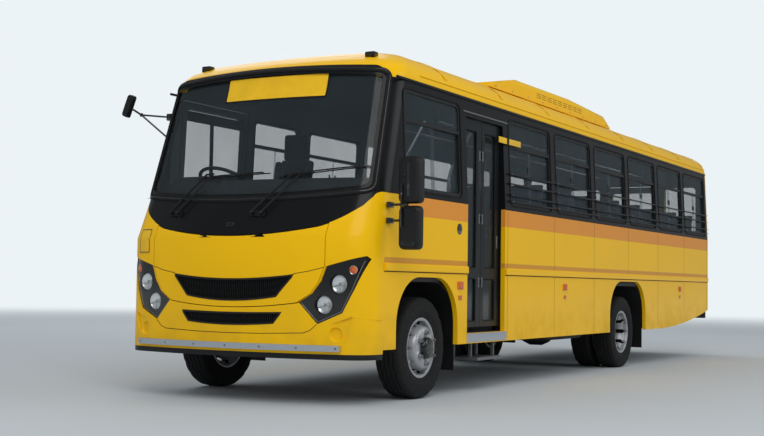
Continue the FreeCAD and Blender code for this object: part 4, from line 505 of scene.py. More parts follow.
# Solid forms gathered in one mesh, each with its own finish.
class Solid:
    def __init__(self):
        self.mesh = bmesh.new()

    def take(self, part, slot):
        bmesh.ops.recalc_face_normals(part, faces=part.faces)
        for face in part.faces:
            face.material_index = slot
        held = meshOf(part, "held")
        self.mesh.from_mesh(held)
        bpy.data.meshes.remove(held)

    def box(self, first, second, round=0.0, slot=0, steps=2):
        # A box between any two opposite corners.
        part = bmesh.new()
        bmesh.ops.create_cube(part, size=1)
        size = Vector([abs(start - end) for start, end in zip(first, second)])
        middle = (Vector(first) + Vector(second)) / 2
        for vertex in part.verts:
            vertex.co = Vector(vertex.co[axis] * size[axis] + middle[axis] for axis in range(3))
        if round:
            bmesh.ops.bevel(part, geom=part.edges[:], offset=round, segments=steps, profile=0.5,
                            affect="EDGES", clamp_overlap=True)
        self.take(part, slot)

    def block(self, centre, half, round=0.0, slot=0, steps=2):
        self.box(Vector(centre) - Vector(half), Vector(centre) + Vector(half), round, slot, steps)

    def grid(self, rows, slot=0, closed=(False, False), capped=False):
        # Faces over rows of points; closed tells whether the rows, and each row, run round.
        part = bmesh.new()
        lines = [[part.verts.new(point) for point in row] for row in rows]
        count, length = len(lines), len(lines[0])
        for first in range(count if closed[0] else count - 1):
            for second in range(length if closed[1] else length - 1):
                after, beside = (first + 1) % count, (second + 1) % length
                part.faces.new((lines[first][second], lines[first][beside],
                                lines[after][beside], lines[after][second]))
        if capped:
            part.faces.new(lines[0])
            part.faces.new(lines[-1])
        bmesh.ops.remove_doubles(part, verts=part.verts, dist=0.000001)
        self.take(part, slot)

    def tube(self, points, radius, slot=0, sides=12, closed=False, flat=1.0):
        rows = []
        points = [Vector(point) for point in points]
        count = len(points)
        across = None
        for index, point in enumerate(points):
            before = points[(index - 1) % count] if closed or index else point
            after = points[(index + 1) % count] if closed or index < count - 1 else point
            along = (after - before).normalized()
            if across is None:
                across = along.orthogonal().normalized()
            across = (across - along * across.dot(along)).normalized()
            other = along.cross(across)
            rows.append([point + (across * math.cos(turn) + other * math.sin(turn) * flat) * radius
                         for turn in (2 * math.pi * step / sides for step in range(sides))])
        self.grid(rows, slot, (closed, True), not closed)

    def lathe(self, centre, axis, profile, slot=0, steps=36):
        # A turned form: profile holds distances along the axis and radii.
        axis = Vector(axis).normalized()
        across = Vector((0, 0, 1)) if abs(axis.z) < 0.9 else Vector((1, 0, 0))
        across = (across - axis * across.dot(axis)).normalized()
        other = axis.cross(across)
        rows = []
        for step in range(steps):
            turn = 2 * math.pi * step / steps
            out = across * math.cos(turn) + other * math.sin(turn)
            rows.append([Vector(centre) + axis * along + out * radius for along, radius in profile])
        part = bmesh.new()
        lines = [[part.verts.new(point) for point in row] for row in rows]
        for first in range(steps):
            for second in range(len(profile) - 1):
                part.faces.new((lines[first][second], lines[first][second + 1],
                                lines[(first + 1) % steps][second + 1], lines[(first + 1) % steps][second]))
        bmesh.ops.remove_doubles(part, verts=part.verts, dist=0.000001)
        bmesh.ops.dissolve_degenerate(part, edges=part.edges, dist=0.000001)
        self.take(part, slot)

    def plate(self, outline, depth, slot=0, round=0.0):
        # A flat outline given a thickness; depth is a vector.
        part = bmesh.new()
        face = part.faces.new([part.verts.new(point) for point in outline])
        raised = bmesh.ops.extrude_face_region(part, geom=[face])["geom"]
        bmesh.ops.translate(part, vec=Vector(depth),
                            verts=[item for item in raised if isinstance(item, bmesh.types.BMVert)])
        if round:
            bmesh.ops.recalc_face_normals(part, faces=part.faces)
            bmesh.ops.bevel(part, geom=part.edges[:], offset=round, segments=2, profile=0.5, affect="EDGES",
                            clamp_overlap=True)
        self.take(part, slot)

    def cutter(self, name):
        return linked(name, meshOf(self.mesh, name))

    def done(self, name, keys, body="root", angle=35):
        return addObject(name, softened(meshOf(self.mesh, name), angle), keys, body)


def bend(points, radius, steps=5, closed=False):
    # A line of points with its corners rounded.
    points = [Vector(point) for point in points]
    count = len(points)
    result = []
    for index, point in enumerate(points):
        if not closed and index in (0, count - 1):
            result.append(point)
            continue
        before, after = points[index - 1], points[(index + 1) % count]
        reach = min(radius, (before - point).length * 0.48, (after - point).length * 0.48)
        start = point + (before - point).normalized() * reach
        end = point + (after - point).normalized() * reach
        for step in range(steps + 1):
            share = step / steps
            result.append(start * (1 - share) ** 2 + point * 2 * share * (1 - share) + end * share ** 2)
    return result


def rounded(x, z, radius, steps=5):
    # A rectangle with rounded corners in a flat view.
    corners = [Vector((x[0], z[0], 0)), Vector((x[1], z[0], 0)), Vector((x[1], z[1], 0)), Vector((x[0], z[1], 0))]
    return bend(corners, radius, steps, True)


def spread(points, gap, closed=False):
    # The same line cut into steps no longer than gap.
    result = []
    count = len(points)
    for index in range(count if closed else count - 1):
        first, second = Vector(points[index]), Vector(points[(index + 1) % count])
        steps = max(1, math.ceil((second - first).length / gap))
        result += [first.lerp(second, step / steps) for step in range(steps)]
    if not closed:
        result.append(Vector(points[-1]))
    return result


# Geometry trees: a moulding along a line, and small forms repeated on points.
def makeTree(name, *sizes):
    tree = bpy.data.node_groups.new(name, "GeometryNodeTree")
    tree.interface.new_socket("Geometry", in_out="OUTPUT", socket_type="NodeSocketGeometry")
    tree.interface.new_socket("Geometry", in_out="INPUT", socket_type="NodeSocketGeometry")
    for label in sizes:
        kind = "NodeSocketInt" if label == "Sides" else "NodeSocketFloat"
        tree.interface.new_socket(label, in_out="INPUT", socket_type=kind)
    tree.interface.new_socket("Material", in_out="INPUT", socket_type="NodeSocketMaterial")
    graph = Graph(tree)
    return graph, graph.node("NodeGroupInput").outputs


def closeTree(graph, geometry, material):
    whole = graph.node("GeometryNodeRealizeInstances", {}, {"Geometry": geometry})
    coloured = graph.node("GeometryNodeSetMaterial", {}, {"Geometry": whole.outputs[0], "Material": material})
    graph.node("NodeGroupOutput", {}, {0: coloured.outputs[0]})
    return graph.tree


def mouldingTree():
    graph, start = makeTree("moulding", "Width", "Height", "Round")
    line = graph.node("GeometryNodeMeshToCurve", {}, {0: start["Geometry"]})
    facing = graph.carried("facing")
    line = graph.node("GeometryNodeSetCurveNormal", {"mode": "FREE"}, {0: line.outputs[0]})
    for socket in line.inputs:
        if socket.type == "VECTOR":
            graph.tree.links.new(facing, socket)
    form = graph.node("GeometryNodeCurvePrimitiveQuadrilateral", {},
                      {"Width": start["Height"], "Height": start["Width"]})
    form = graph.node("GeometryNodeFilletCurve", {"mode": "POLY"},
                      {"Curve": form.outputs[0], "Count": 3, "Radius": start["Round"], "Limit Radius": True})
    solid = graph.node("GeometryNodeCurveToMesh", {},
                       {"Curve": line.outputs[0], "Profile Curve": form.outputs[0], "Fill Caps": True})
    return closeTree(graph, solid.outputs[0], start["Material"])


def fastenerTree():
    graph, start = makeTree("fastener", "Sides", "Radius", "Top Radius", "Depth", "Stud Radius", "Stud Depth")
    head = graph.node("GeometryNodeMeshCone", {},
                      {"Vertices": start["Sides"], "Radius Top": start["Top Radius"],
                       "Radius Bottom": start["Radius"], "Depth": start["Depth"]})
    stud = graph.node("GeometryNodeMeshCylinder", {},
                      {"Vertices": 10, "Radius": start["Stud Radius"], "Depth": start["Stud Depth"]})
    half = graph.node("ShaderNodeMath", {"operation": "MULTIPLY"}, {0: start["Stud Depth"], 1: 0.5})
    lift = graph.node("ShaderNodeCombineXYZ", {}, {2: half.outputs[0]})
    moved = graph.node("GeometryNodeTransform", {},
                       {"Geometry": stud.outputs[0], "Translation": lift.outputs[0]})
    both = graph.node("GeometryNodeJoinGeometry")
    for part in (head.outputs[0], moved.outputs[0]):
        graph.tree.links.new(part, both.inputs[0])
    many = graph.node("GeometryNodeInstanceOnPoints", {},
                      {"Points": start["Geometry"], "Instance": both.outputs[0], "Rotation": graph.carried("turn")})
    return closeTree(graph, many.outputs[0], start["Material"])


def barTree():
    graph, start = makeTree("bars", "Width", "Depth")
    size = graph.node("ShaderNodeCombineXYZ", {}, {0: start["Width"], 1: start["Depth"], 2: 1.0})
    bar = graph.node("GeometryNodeMeshCube", {}, {"Size": size.outputs[0]})
    many = graph.node("GeometryNodeInstanceOnPoints", {},
                      {"Points": start["Geometry"], "Instance": bar.outputs[0], "Rotation": graph.carried("turn"),
                       "Scale": graph.carried("length")})
    return closeTree(graph, many.outputs[0], start["Material"])


trees = {"moulding": mouldingTree(), "fastener": fastenerTree(), "bars": barTree()}


def grow(name, kind, points, edges, vectors, values, finish, body="root"):
    # A plain mesh from one of the trees, grown on points that carry vectors.
    mesh = bpy.data.meshes.new(name)
    mesh.from_pydata(points, edges, [])
    for key, items in vectors.items():
        layer = mesh.attributes.new(key, "FLOAT_VECTOR", "POINT")
        layer.data.foreach_set("vector", [part for item in items for part in item])
    holder = linked(name + "Points", mesh)
    modifier = holder.modifiers.new(kind, "NODES")
    modifier.node_group = trees[kind]
    given = dict(values, Material=finishes[finish])
    for item in trees[kind].interface.items_tree:
        if item.in_out == "INPUT" and item.name in given:
            modifier[item.identifier] = given[item.name]
    grown = baked(holder)
    bpy.data.objects.remove(holder)
    bpy.data.meshes.remove(mesh)
    for key in vectors:
        if key in grown.attributes:
            grown.attributes.remove(grown.attributes[key])
    work = bmesh.new()
    work.from_mesh(grown)
    bmesh.ops.recalc_face_normals(work, faces=work.faces)
    work.to_mesh(grown)
    work.free()
    return addObject(name, softened(grown, 35), [finish], body)


def mould(name, lines, values, finish, body="root", closed=False):
    # Lines of points with the direction that each faces, joined in one moulding piece.
    points, facing, edges = [], [], []
    for line in lines:
        first = len(points)
        points += [point for point, _ in line]
        facing += [way for _, way in line]
        edges += [(index, index + 1) for index in range(first, len(points) - 1)]
        if closed:
            edges.append((len(points) - 1, first))
    return grow(name, "moulding", points, edges, {"facing": facing}, values, finish, body)


def turnTo(axis, spin=0.0):
    return (Vector(axis).to_track_quat("Z", "Y") @ Matrix.Rotation(spin, 3, "Z").to_quaternion()).to_euler()


def fasten(name, places, values, finish, body="root"):
    # Nuts, bolts or rivets; places holds points with the way each faces.
    points = [point for point, _ in places]
    turns = [turnTo(axis, 0.3 * index) for index, (_, axis) in enumerate(places)]
    return grow(name, "fastener", points, [], {"turn": turns}, values, finish, body)


def barForm(width, height, round):
    return {"Width": width, "Height": height, "Round": round}


hexNut = {"Sides": 6, "Radius": 0.0175, "Top Radius": 0.0165, "Depth": 0.018, "Stud Radius": 0.009,
          "Stud Depth": 0.034}
rivet = {"Sides": 10, "Radius": 0.005, "Top Radius": 0.0028, "Depth": 0.0022, "Stud Radius": 0.001,
         "Stud Depth": 0.0022}
capScrew = {"Sides": 12, "Radius": 0.007, "Top Radius": 0.006, "Depth": 0.005, "Stud Radius": 0.003,
            "Stud Depth": 0.004}
print("shape tools ready")

# Body shell: recesses for the fog lamps are pressed into the cap, then the skins get their smooth normals.
fog = {"place": (0.889, 0.532), "radius": 0.052, "depth": 0.026,
       "wedge": ((0.842, 0.600, 0.0005), (1.003, 0.660, 0.010), (0.962, 0.487, 0.014))}


def fogCutters(values):
    cutters = []
    for side in (1, -1):
        solid, slope = Solid(), Solid()
        x, z = side * values["place"][0], values["place"][1]
        radius, depth = values["radius"], values["depth"]
        profile = [(0.03, 0), (0.03, radius + 0.008), (0.0, radius + 0.004), (-0.004, radius),
                   (-depth * 0.8, radius * 0.74), (-depth, radius * 0.5), (-depth, 0)]
        solid.lathe(onFront(x, z), wayAt(onFront(x, z)), profile, 0, 48)
        outside = [onFront(side * across, up, 0.03) for across, up, _ in values["wedge"]]
        inside = [onFront(side * across, up, -down) for across, up, down in values["wedge"]]
        slope.grid([outside, inside], 0, (False, True), True)
        cutters += [solid.cutter("fogBore"), slope.cutter("fogWedge")]
    return cutters


smoothShell("front_cap", ["bodyYellow", "bodyYellow"], fogCutters(fog))

# The front flap, with its two hinge barrels in black.
flapHinges = {"x": 0.250, "reach": 0.035, "low": 1.2405}
flap = smoothShell("front_flap", ["bodyYellow", "trimBlack"])
flap.data.materials.append(finishes["blackPaint"])
for face in flap.data.polygons:
    if abs(abs(face.center.x) - flapHinges["x"]) < flapHinges["reach"] and face.center.z > flapHinges["low"]:
        face.material_index = 2

for name, outside, inside in (("windscreen_surround", "blackPaint", "trimBlack"), ("roof", "roofYellow", "lining"),
                              ("rear_wall", "bodyYellow", "lining"), ("window_bands", "blackPaint", "lining"),
                              ("side_panels", "sideYellow", "lining"),
                              ("windscreen", "windscreenGlass", "windscreenGlass")):
    smoothShell(name, [outside, inside])

# Seams, seals and pressed lines over the shell; the seams are thin dark strips standing for painted shade in the panel
# grooves.
seams = barForm(0.0045, 0.0020, 0.0006)
beads = barForm(0.010, 0.005, 0.0024)


def facing(line):
    return [(spot, wayAt(spot)) for spot in line]


def frontLine(points, out=0.0, gap=0.04):
    # A line drawn in the front view, laid on the skin.
    flat = spread([Vector((x, z, 0)) for x, z in points], gap)
    return facing([onFront(point.x, point.y, out) for point in flat])


def sideLine(side, start, end, z, out=0.0, gap=0.5):
    count = max(1, round(abs(end - start) / gap))
    line = []
    for step in range(count + 1):
        y = start + (end - start) * step / count
        line.append((onSide(side, y, z, out), sideWay(side, z)))
    return line


def bowed(first, middle, second, count=16):
    # Points of an arc through three points of a view.
    (ax, ay), (bx, by), (cx, cy) = first, middle, second
    scale = 2 * (ax * (by - cy) + bx * (cy - ay) + cx * (ay - by))
    a, b, c = ax ** 2 + ay ** 2, bx ** 2 + by ** 2, cx ** 2 + cy ** 2
    ux = (a * (by - cy) + b * (cy - ay) + c * (ay - by)) / scale
    uy = (a * (cx - bx) + b * (ax - cx) + c * (bx - ax)) / scale
    radius = math.hypot(ax - ux, ay - uy)
    start = math.atan2(ay - uy, ax - ux)
    turn = math.remainder(math.atan2(cy - uy, cx - ux) - start, 2 * math.pi)
    angles = [start + turn * step / count for step in range(count + 1)]
    return [(ux + radius * math.cos(angle), uy + radius * math.sin(angle)) for angle in angles]


lowSeam = [(-0.742, 0.600), (-0.69, 0.555), (-0.64, 0.536), (-0.3, 0.524), (0, 0.521), (0.3, 0.524),
           (0.64, 0.536), (0.69, 0.555), (0.742, 0.600)]
cheekSeam = [(0.552, 0.968), (0.68, 0.990), (0.790, 1.018)]
# Painted shade: thin dark strips along the lower and cheek seams, where the grooves between panels are dark.
seamShadeLines = [frontLine(lowSeam, 0.0004)]
seamShadeLines += [frontLine([(side * x, z) for x, z in cheekSeam], 0.0004) for side in (1, -1)]
mould("shellSeamShade", seamShadeLines, seams, "sealRubber")

cornerCrease = [(0.985, 0.668), (1.04, 0.656), (1.09, 0.648), (1.118, 0.642)]
beadLines = []
for side in (1, -1):
    crease = [onFront(side * x, z, 0.001) for x, z in cornerCrease]
    crease += [onSide(side, y, 0.640, 0.001) for y in (-0.86, -0.790)]
    beadLines.append(facing(crease))
    beadLines.append(sideLine(side, -0.15, 8.36, 2.552, 0.001, 0.8))
mould("pressedLines", beadLines, beads, "roofYellow")

gutterRail = barForm(0.020, 0.016, 0.005)
mould("gutterRails", [sideLine(side, -0.555, 8.39, 2.484, 0.006, 0.8) for side in (1, -1)], gutterRail,
      "blackPaint")

# Rub rails with rounded edges, and a thin dark strip under them as a painted shadow line.
rubRail = barForm(0.060, 0.0157, 0.0075)
railRuns = [(1, -0.776, 0.654, 1.030), (1, 1.446, 8.396, 1.030), (-1, -0.776, 8.396, 0.970)]
railShadowLine = barForm(0.007, 0.0025, 0.001)
rails = mould("rubRailForms", [sideLine(*run, 0.0082) for run in railRuns], rubRail, "bodyYellow")
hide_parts("rub_rails")
# Painted shadow: a thin dark strip just under each rail, where the rail's shade falls.
mould("rubRailShadowLines", [sideLine(side, start, end, z - 0.0335, 0.0006) for side, start, end, z in railRuns],
      railShadowLine, "sealRubber")

# The windscreen's thick rubber with its bright filler strip.
screen = {"low": (1.062, 1.588), "high": (1.022, 2.542), "bottom": 1.528, "top": 2.582, "corner": 0.085}


def screenLine(values, inset, out):
    low = (values["low"][0] - inset, values["low"][1] + inset)
    high = (values["high"][0] - inset, values["high"][1] - inset)
    bottom = bowed((-low[0], low[1]), (0, values["bottom"] + inset), low)
    top = bowed(high, (0, values["top"] - inset), (-high[0], high[1]))
    corners = [Vector((x, z, 0)) for x, z in bottom + top]
    flat = spread(bend(corners, values["corner"], 6, True), 0.05, True)
    return facing([onFront(point.x, point.y, out) for point in flat])


screenForms = {"rubber": barForm(0.046, 0.022, 0.009),
               "frit": barForm(0.052, 0.0016, 0.0005),
               "filler": barForm(0.007, 0.004, 0.0016)}
mould("screenRubber", [screenLine(screen, 0.006, 0.000)], screenForms["rubber"], "sealRubber", "root", True)
mould("screenFrit", [screenLine(screen, 0.024, 0.0008)], screenForms["frit"], "blackPaint")
mould("screenFiller", [screenLine(screen, 0.004, 0.0105)], screenForms["filler"], "gloss", "root", True)
print("shell finished")

# Headlamps: chrome bowls with bulbs behind clear domes, sunk into round bores of the housings.
headlamp = {"large": [(0.895, 0.896), (0.786, 0.743)], "small": (1.000, 1.001), "radius": 0.0695, "rim": 0.034,
            "bowl": 0.022, "prongs": (200, 270, 340),
            "border": [(1.074, 1.070), (0.996, 0.853), (0.922, 0.696), (0.747, 0.617), (0.617, 0.752)]}


def lampBores(values):
    cutters = []
    reach = values["radius"] + 0.0017
    for side in (1, -1):
        for x, z in values["large"]:
            solid = Solid()
            solid.lathe(onFront(side * x, z), (0, -1, 0), [(0.05, 0), (0.05, reach), (-0.12, reach), (-0.12, 0)], 0, 64)
            cutters.append(solid.cutter("lampBore"))
    return cutters


def makeHeadlamps(values):
    solid, clear = Solid(), Solid()
    ahead = Vector((0, -1, 0))
    radius, depth = values["radius"], values["bowl"]
    bowl = [(-depth, 0), (-depth * 0.97, radius * 0.20), (-depth * 0.84, radius * 0.45), (-depth * 0.60, radius * 0.70),
            (-depth * 0.26, radius * 0.88), (0, radius * 0.95), (0.001, radius), (-depth - 0.002, radius),
            (-depth - 0.002, 0)]
    ring = [(0, radius * 0.94), (0.007, radius * 0.95), (0.011, radius * 0.975), (0.011, radius), (0, radius),
            (0, radius * 0.94)]
    bulb = [(-depth, 0), (-depth, 0.009), (-0.010, 0.009), (-0.006, 0.006), (-0.005, 0)]
    shield = [(0.002, 0), (0.0015, 0.009), (-0.002, 0.013), (-0.004, 0.013), (-0.001, 0.008), (-0.0005, 0)]
    dome = [(0.003, radius * 0.95), (0.010, radius * 0.80), (0.014, radius * 0.50), (0.016, radius * 0.20), (0.0165, 0),
            (0.015, 0), (0.0145, radius * 0.20), (0.0125, radius * 0.50), (0.0085, radius * 0.78),
            (0.0015, radius * 0.93), (0.003, radius * 0.95)]
    button = [(-0.004, 0), (-0.004, 0.029), (0.003, 0.029), (0.007, 0.022), (0.0095, 0.011), (0.010, 0)]
    collar = [(-0.004, 0.029), (0.005, 0.029), (0.006, 0.0315), (0.003, 0.0330), (-0.004, 0.0330), (-0.004, 0.029)]
    for side in (1, -1):
        for x, z in values["large"]:
            centre = onFront(side * x, z) - ahead * values["rim"]
            solid.lathe(centre, ahead, bowl, 0, 48)
            solid.lathe(centre, ahead, ring, 1, 48)
            solid.lathe(centre, ahead, bulb, 2, 16)
            solid.lathe(centre, ahead, shield, 1, 20)
            for angle in values["prongs"]:
                way = Vector((math.cos(math.radians(angle)), 0, math.sin(math.radians(angle))))
                solid.tube([centre + way * 0.010, centre + way * radius * 0.95], 0.0026, 1, 8)
            clear.lathe(centre, ahead, dome, 0, 40)
        x, z = side * values["small"][0], values["small"][1]
        spot = onFront(x, z)
        axis = (wayAt(spot) + ahead).normalized()
        centre = spot - axis * 0.026
        solid.lathe(centre, axis, button, 3, 28)
        solid.lathe(centre, axis, collar, 0, 28)
    lamps = solid.done("headlampBowls", ["reflector", "gloss", "lampWhite", "lampAmber"])
    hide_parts("headlamp_lenses")
    clear.done("headlampDomes", ["lampClear"])
    lines = [frontLine([(side * x, z) for x, z in values["border"]], -0.0130) for side in (1, -1)]
    mould("headlampBorders", lines, barForm(0.0055, 0.004, 0.0015), "zinc")


smoothShell("headlamp_housings", ["housingBlack", "housingBlack"], lampBores(headlamp))
makeHeadlamps(headlamp)
print("headlamps made")

# Grilles: a back plate, upright bars over two level ribs, and a rounded rim.
upperGrille = {"half": 0.560, "top": 0.966, "middle": 0.930, "bottomHalf": 0.415, "bottom": 0.794,
               "bottomMiddle": 0.760, "pitch": 0.0165, "rows": 2}
lowerGrille = {"half": 0.465, "top": 0.686, "middle": 0.678, "bottomHalf": 0.398, "bottom": 0.597,
               "bottomMiddle": 0.579, "pitch": 0.0165, "rows": 1}


def sagged(x, half, edge, middle):
    # Height of a bow that is higher at its ends than in its middle.
    sag = edge - middle
    radius = (half ** 2 + sag ** 2) / (2 * sag)
    return middle + radius - math.sqrt(radius ** 2 - x ** 2)


def grilleRange(values, x, inset):
    high = sagged(x, values["half"], values["top"], values["middle"]) - inset
    if abs(x) < values["bottomHalf"]:
        return sagged(x, values["bottomHalf"], values["bottom"], values["bottomMiddle"]) + inset, high
    share = (abs(x) - values["bottomHalf"]) / (values["half"] - values["bottomHalf"])
    return values["bottom"] + (values["top"] - values["bottom"]) * share + inset, high


def makeGrille(node, values):
    body = bodyNames[node]
    half = values["half"] - 0.012
    steps = 36
    rows, ribs = [], [[] for _ in range(values["rows"])]
    for step in range(steps + 1):
        x = half * (2 * step / steps - 1)
        low, high = grilleRange(values, x, 0.002)
        high = max(high, low + 0.004)
        rows.append([onFront(x, low, -0.024), onFront(x, high, -0.024), onFront(x, high, -0.034),
                     onFront(x, low, -0.034)])
        for index, line in enumerate(ribs):
            height = low + (high - low) * (index + 1) / (values["rows"] + 1)
            if high - low > 0.05:
                line.append((onFront(x, height, -0.017), frontWay(x, height)))
    solid = Solid()
    solid.grid(rows, 0, (False, True), True)
    back = solid.done(node + "Back", ["grilleBlack"], body)
    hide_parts(node)
    mould(node + "Ribs", ribs, barForm(0.006, 0.010, 0.0015), "grilleBlack", body)
    points, lengths, turns = [], [], []
    count = int(half / values["pitch"])
    for index in range(-count, count + 1):
        x = index * values["pitch"]
        low, high = grilleRange(values, x, 0.003)
        if high - low < 0.03:
            continue
        middle = (low + high) / 2
        normal = frontWay(x, middle)
        points.append(onFront(x, middle, -0.013))
        turns.append((0, 0, math.atan2(-normal.x, normal.y) + math.pi))
        lengths.append((1, 1, high - low))
    grow(node + "Bars", "bars", points, [], {"turn": turns, "length": lengths}, {"Width": 0.0052, "Depth": 0.012},
         "grilleBlack", body)
    inset = 0.0085
    top = [(x, grilleRange(values, x, inset)[1]) for x in (half * (1 - step / 12) for step in range(25))]
    foot = [values["bottomHalf"], values["bottom"], values["bottomMiddle"]]
    bottom = [(x, sagged(x, *foot) + inset) for x in (foot[0] * (step / 8 - 1) * 0.985 for step in range(17))]
    edge = [Vector((x, z, 0)) for x, z in top + bottom]
    flat = bend(edge, 0.018, 4, True)
    line = [(onFront(point.x, point.y, -0.003), frontWay(point.x, point.y)) for point in flat]
    mould(node + "Rim", [line], barForm(0.015, 0.016, 0.005), "trimBlack", body, True)


makeGrille("upper_grille", upperGrille)
makeGrille("lower_grille", lowerGrille)
print("grilles made")


def parted(node, keys, choose=None, angle=32):
    # A copy of a piece; where choose is given, the faces take their finish from their place.
    work = copyMesh(node)
    for face in work.faces:
        face.material_index = choose(face.calc_center_median()) if choose else 0
    mesh = softened(meshOf(work, node + "Parts"), angle)
    item = addObject(node + "Parts", mesh, keys, bodyNames[node])
    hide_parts(node)
    return item


# Silver strip over the black lip, held by cap screws.
strip = {"foot": 0.396, "screws": (-0.895, -0.60, -0.30, 0.0, 0.30, 0.60, 0.895), "height": 0.428, "proud": 0.0372}
parted("front_bumper", ["trimBlack", "silverStrip"], lambda middle: 1 if middle.z > strip["foot"] else 0)
fasten("stripScrews", [(onFront(x, strip["height"], strip["proud"]), frontWay(x, strip["height"]))
                       for x in strip["screws"]], dict(capScrew, Radius=0.009, Depth=0.004), "zinc")

# Blank boards: the name board behind the top of the windscreen and the sign on the right of the nose.
boards = {"name": (-0.370, 0.550, 2.350, 2.530), "sign": (-0.985, -0.845, 1.120, 1.320), "border": 0.007,
          "slot": (-0.060, 0.000, 1.326, 1.352)}


def layPlate(solid, x, z, low, high, slot=0, steps=10, radius=0.008):
    # A plate with rounded corners laid on the front skin between two distances from it.
    outline = rounded(x, z, radius, 3)
    flat = [(point.x, point.y) for point in spread(outline, (x[1] - x[0]) / steps, True)]
    a, b = (x[0] + x[1]) / 2, (z[0] + z[1]) / 2
    part = bmesh.new()
    shares = (0.35, 0.7, 1.0)
    layers = []
    for out in (high, low):
        lines = [[part.verts.new(onFront(a, b, out))]]
        for share in shares:
            lines.append([part.verts.new(onFront(a + (across - a) * share, b + (up - b) * share, out))
                          for across, up in flat])
        layers.append(lines)
    count = len(flat)
    for lines in layers:
        for index in range(count):
            after = (index + 1) % count
            part.faces.new((lines[0][0], lines[1][index], lines[1][after]))
            for inner, outer in zip(lines[1:], lines[2:]):
                part.faces.new((inner[index], outer[index], outer[after], inner[after]))
    first, last = layers[0][-1], layers[1][-1]
    for index in range(count):
        after = (index + 1) % count
        part.faces.new((first[index], last[index], last[after], first[after]))
    solid.take(part, slot)


def makeBoards(values):
    solid = Solid()
    left, right, low, high = values["name"]
    layPlate(solid, (left - 0.012, right + 0.012), (low - 0.010, high + 0.010), -0.0115, -0.0085, 1)
    layPlate(solid, (left, right), (low, high), -0.0085, -0.0065, 0)
    left, right, low, high = values["sign"]
    for step, (foot, head) in enumerate(((0.0006, 0.0026), (0.0026, 0.0032), (0.0032, 0.0038))):
        inset = values["border"] * step
        layPlate(solid, (left + inset, right - inset), (low + inset, high - inset), foot, head, step % 2, 6)
    solid.done("blankBoards", ["signYellow", "housingBlack"])
    left, right, low, high = values["slot"]
    handle = Solid()
    layPlate(handle, (left, right), (low, high - 0.002), 0.0004, 0.0012, 0, 5, 0.006)
    handle.done("hoodHandleSlot", ["sealRubber"])
    rim = frontLine([(left, low), (left, high), (right, high), (right, low), (left, low)], 0.002, 0.01)
    mould("hoodHandleRim", [rim], barForm(0.006, 0.005, 0.002), "gloss")


makeBoards(boards)

# Wipers: two parallel arms on a pivot plate carry a jointed blade.
wipers = {"sets": [((-0.662, 1.432), (-0.369, 1.729), (-0.488, 1.711), (0.221, 1.739)),
                   ((0.154, 1.418), (0.433, 1.716), (0.303, 1.704), (0.985, 1.775))],
          "link": (0.082, -0.006), "proud": 0.034, "arm": 0.0075, "bladeOut": 0.016}


def makeWipers(values):
    solid = Solid()
    link = values["link"]
    proud, bladeOut = values["proud"], values["bladeOut"]
    spindle = [(0, 0), (0, 0.024), (0.010, 0.023), (0.014, 0.015), (0.030, 0.014), (0.042, 0.015), (0.046, 0.010),
               (0.047, 0)]
    for pivot, tip, start, end in values["sets"]:
        second = (pivot[0] + link[0], pivot[1] + link[1])
        secondTip = (tip[0] + link[0] * 0.9, tip[1] + 0.004)
        for spot in (pivot, second):
            base = onFront(*spot, -0.004)
            solid.lathe(base, skinNormal(spot[0], base.y - axleY, spot[1]), spindle, 0, 20)
        corners = ((pivot, -0.028, -0.018), (second, 0.028, -0.018), (second, 0.022, 0.024), (pivot, -0.022, 0.024))
        plate = [onFront(near[0] + across, near[1] + up, 0.002) for near, across, up in corners]
        solid.plate(plate, frontWay(pivot[0], pivot[1]) * 0.010, 0, 0.003)
        for first, last, radius in ((pivot, tip, values["arm"]), (second, secondTip, values["arm"] * 0.8)):
            line = [onFront(first[0] + (last[0] - first[0]) * share, first[1] + (last[1] - first[1]) * share,
                            proud + 0.006 * math.sin(math.pi * share)) for share in (0, 0.12, 0.35, 0.65, 0.9, 1)]
            solid.tube(line, radius, 0, 10, False, 0.7)
            solid.tube(line[:3], radius * 1.5, 0, 10, False, 0.8)
        solid.tube([onFront(*tip, proud), onFront(*secondTip, proud)], 0.008, 0, 10)
        hook = ((tip[0] + secondTip[0]) / 2, tip[1])
        solid.tube([onFront(*hook, proud), onFront(hook[0], hook[1] - 0.004, bladeOut + 0.006)], 0.008, 0, 10)
        spine, rubber = [], []
        for step in range(13):
            share = step / 12
            x, z = start[0] + (end[0] - start[0]) * share, start[1] + (end[1] - start[1]) * share
            arch = 0.008 * math.sin(math.pi * share)
            spine.append(onFront(x, z, bladeOut + arch))
            rubber.append(onFront(x, z - 0.003, 0.000))
        solid.tube(spine[1:-1], 0.0065, 0, 8, False, 0.8)
        solid.tube(rubber, 0.0045, 1, 8)
        for step in (1, 3, 5, 7, 9, 11):
            solid.tube([spine[step], rubber[step]], 0.0048, 0, 8)
    made = solid.done("wiperSets", ["trimBlack", "sealRubber"])
    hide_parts("wipers")


makeWipers(wipers)
print("boards and wipers made")

# Mirrors: two heads on an upright rod at the left front corner, and a small tilted one on two arms at the right.
mirrors = {"rodX": 1.284, "rodY": -0.740, "rod": 0.011, "low": 1.180, "high": 1.820, "arms": (1.372, 1.490),
           "heads": [(1.227, 1.417, 1.495, 1.845), (1.233, 1.411, 1.155, 1.480)], "back": -0.705, "front": -0.785,
           "small": (-1.352, -0.780, 2.367), "elbow": (-1.300, -0.680, 2.302), "tilt": 22, "pads": (2.285, 2.090)}


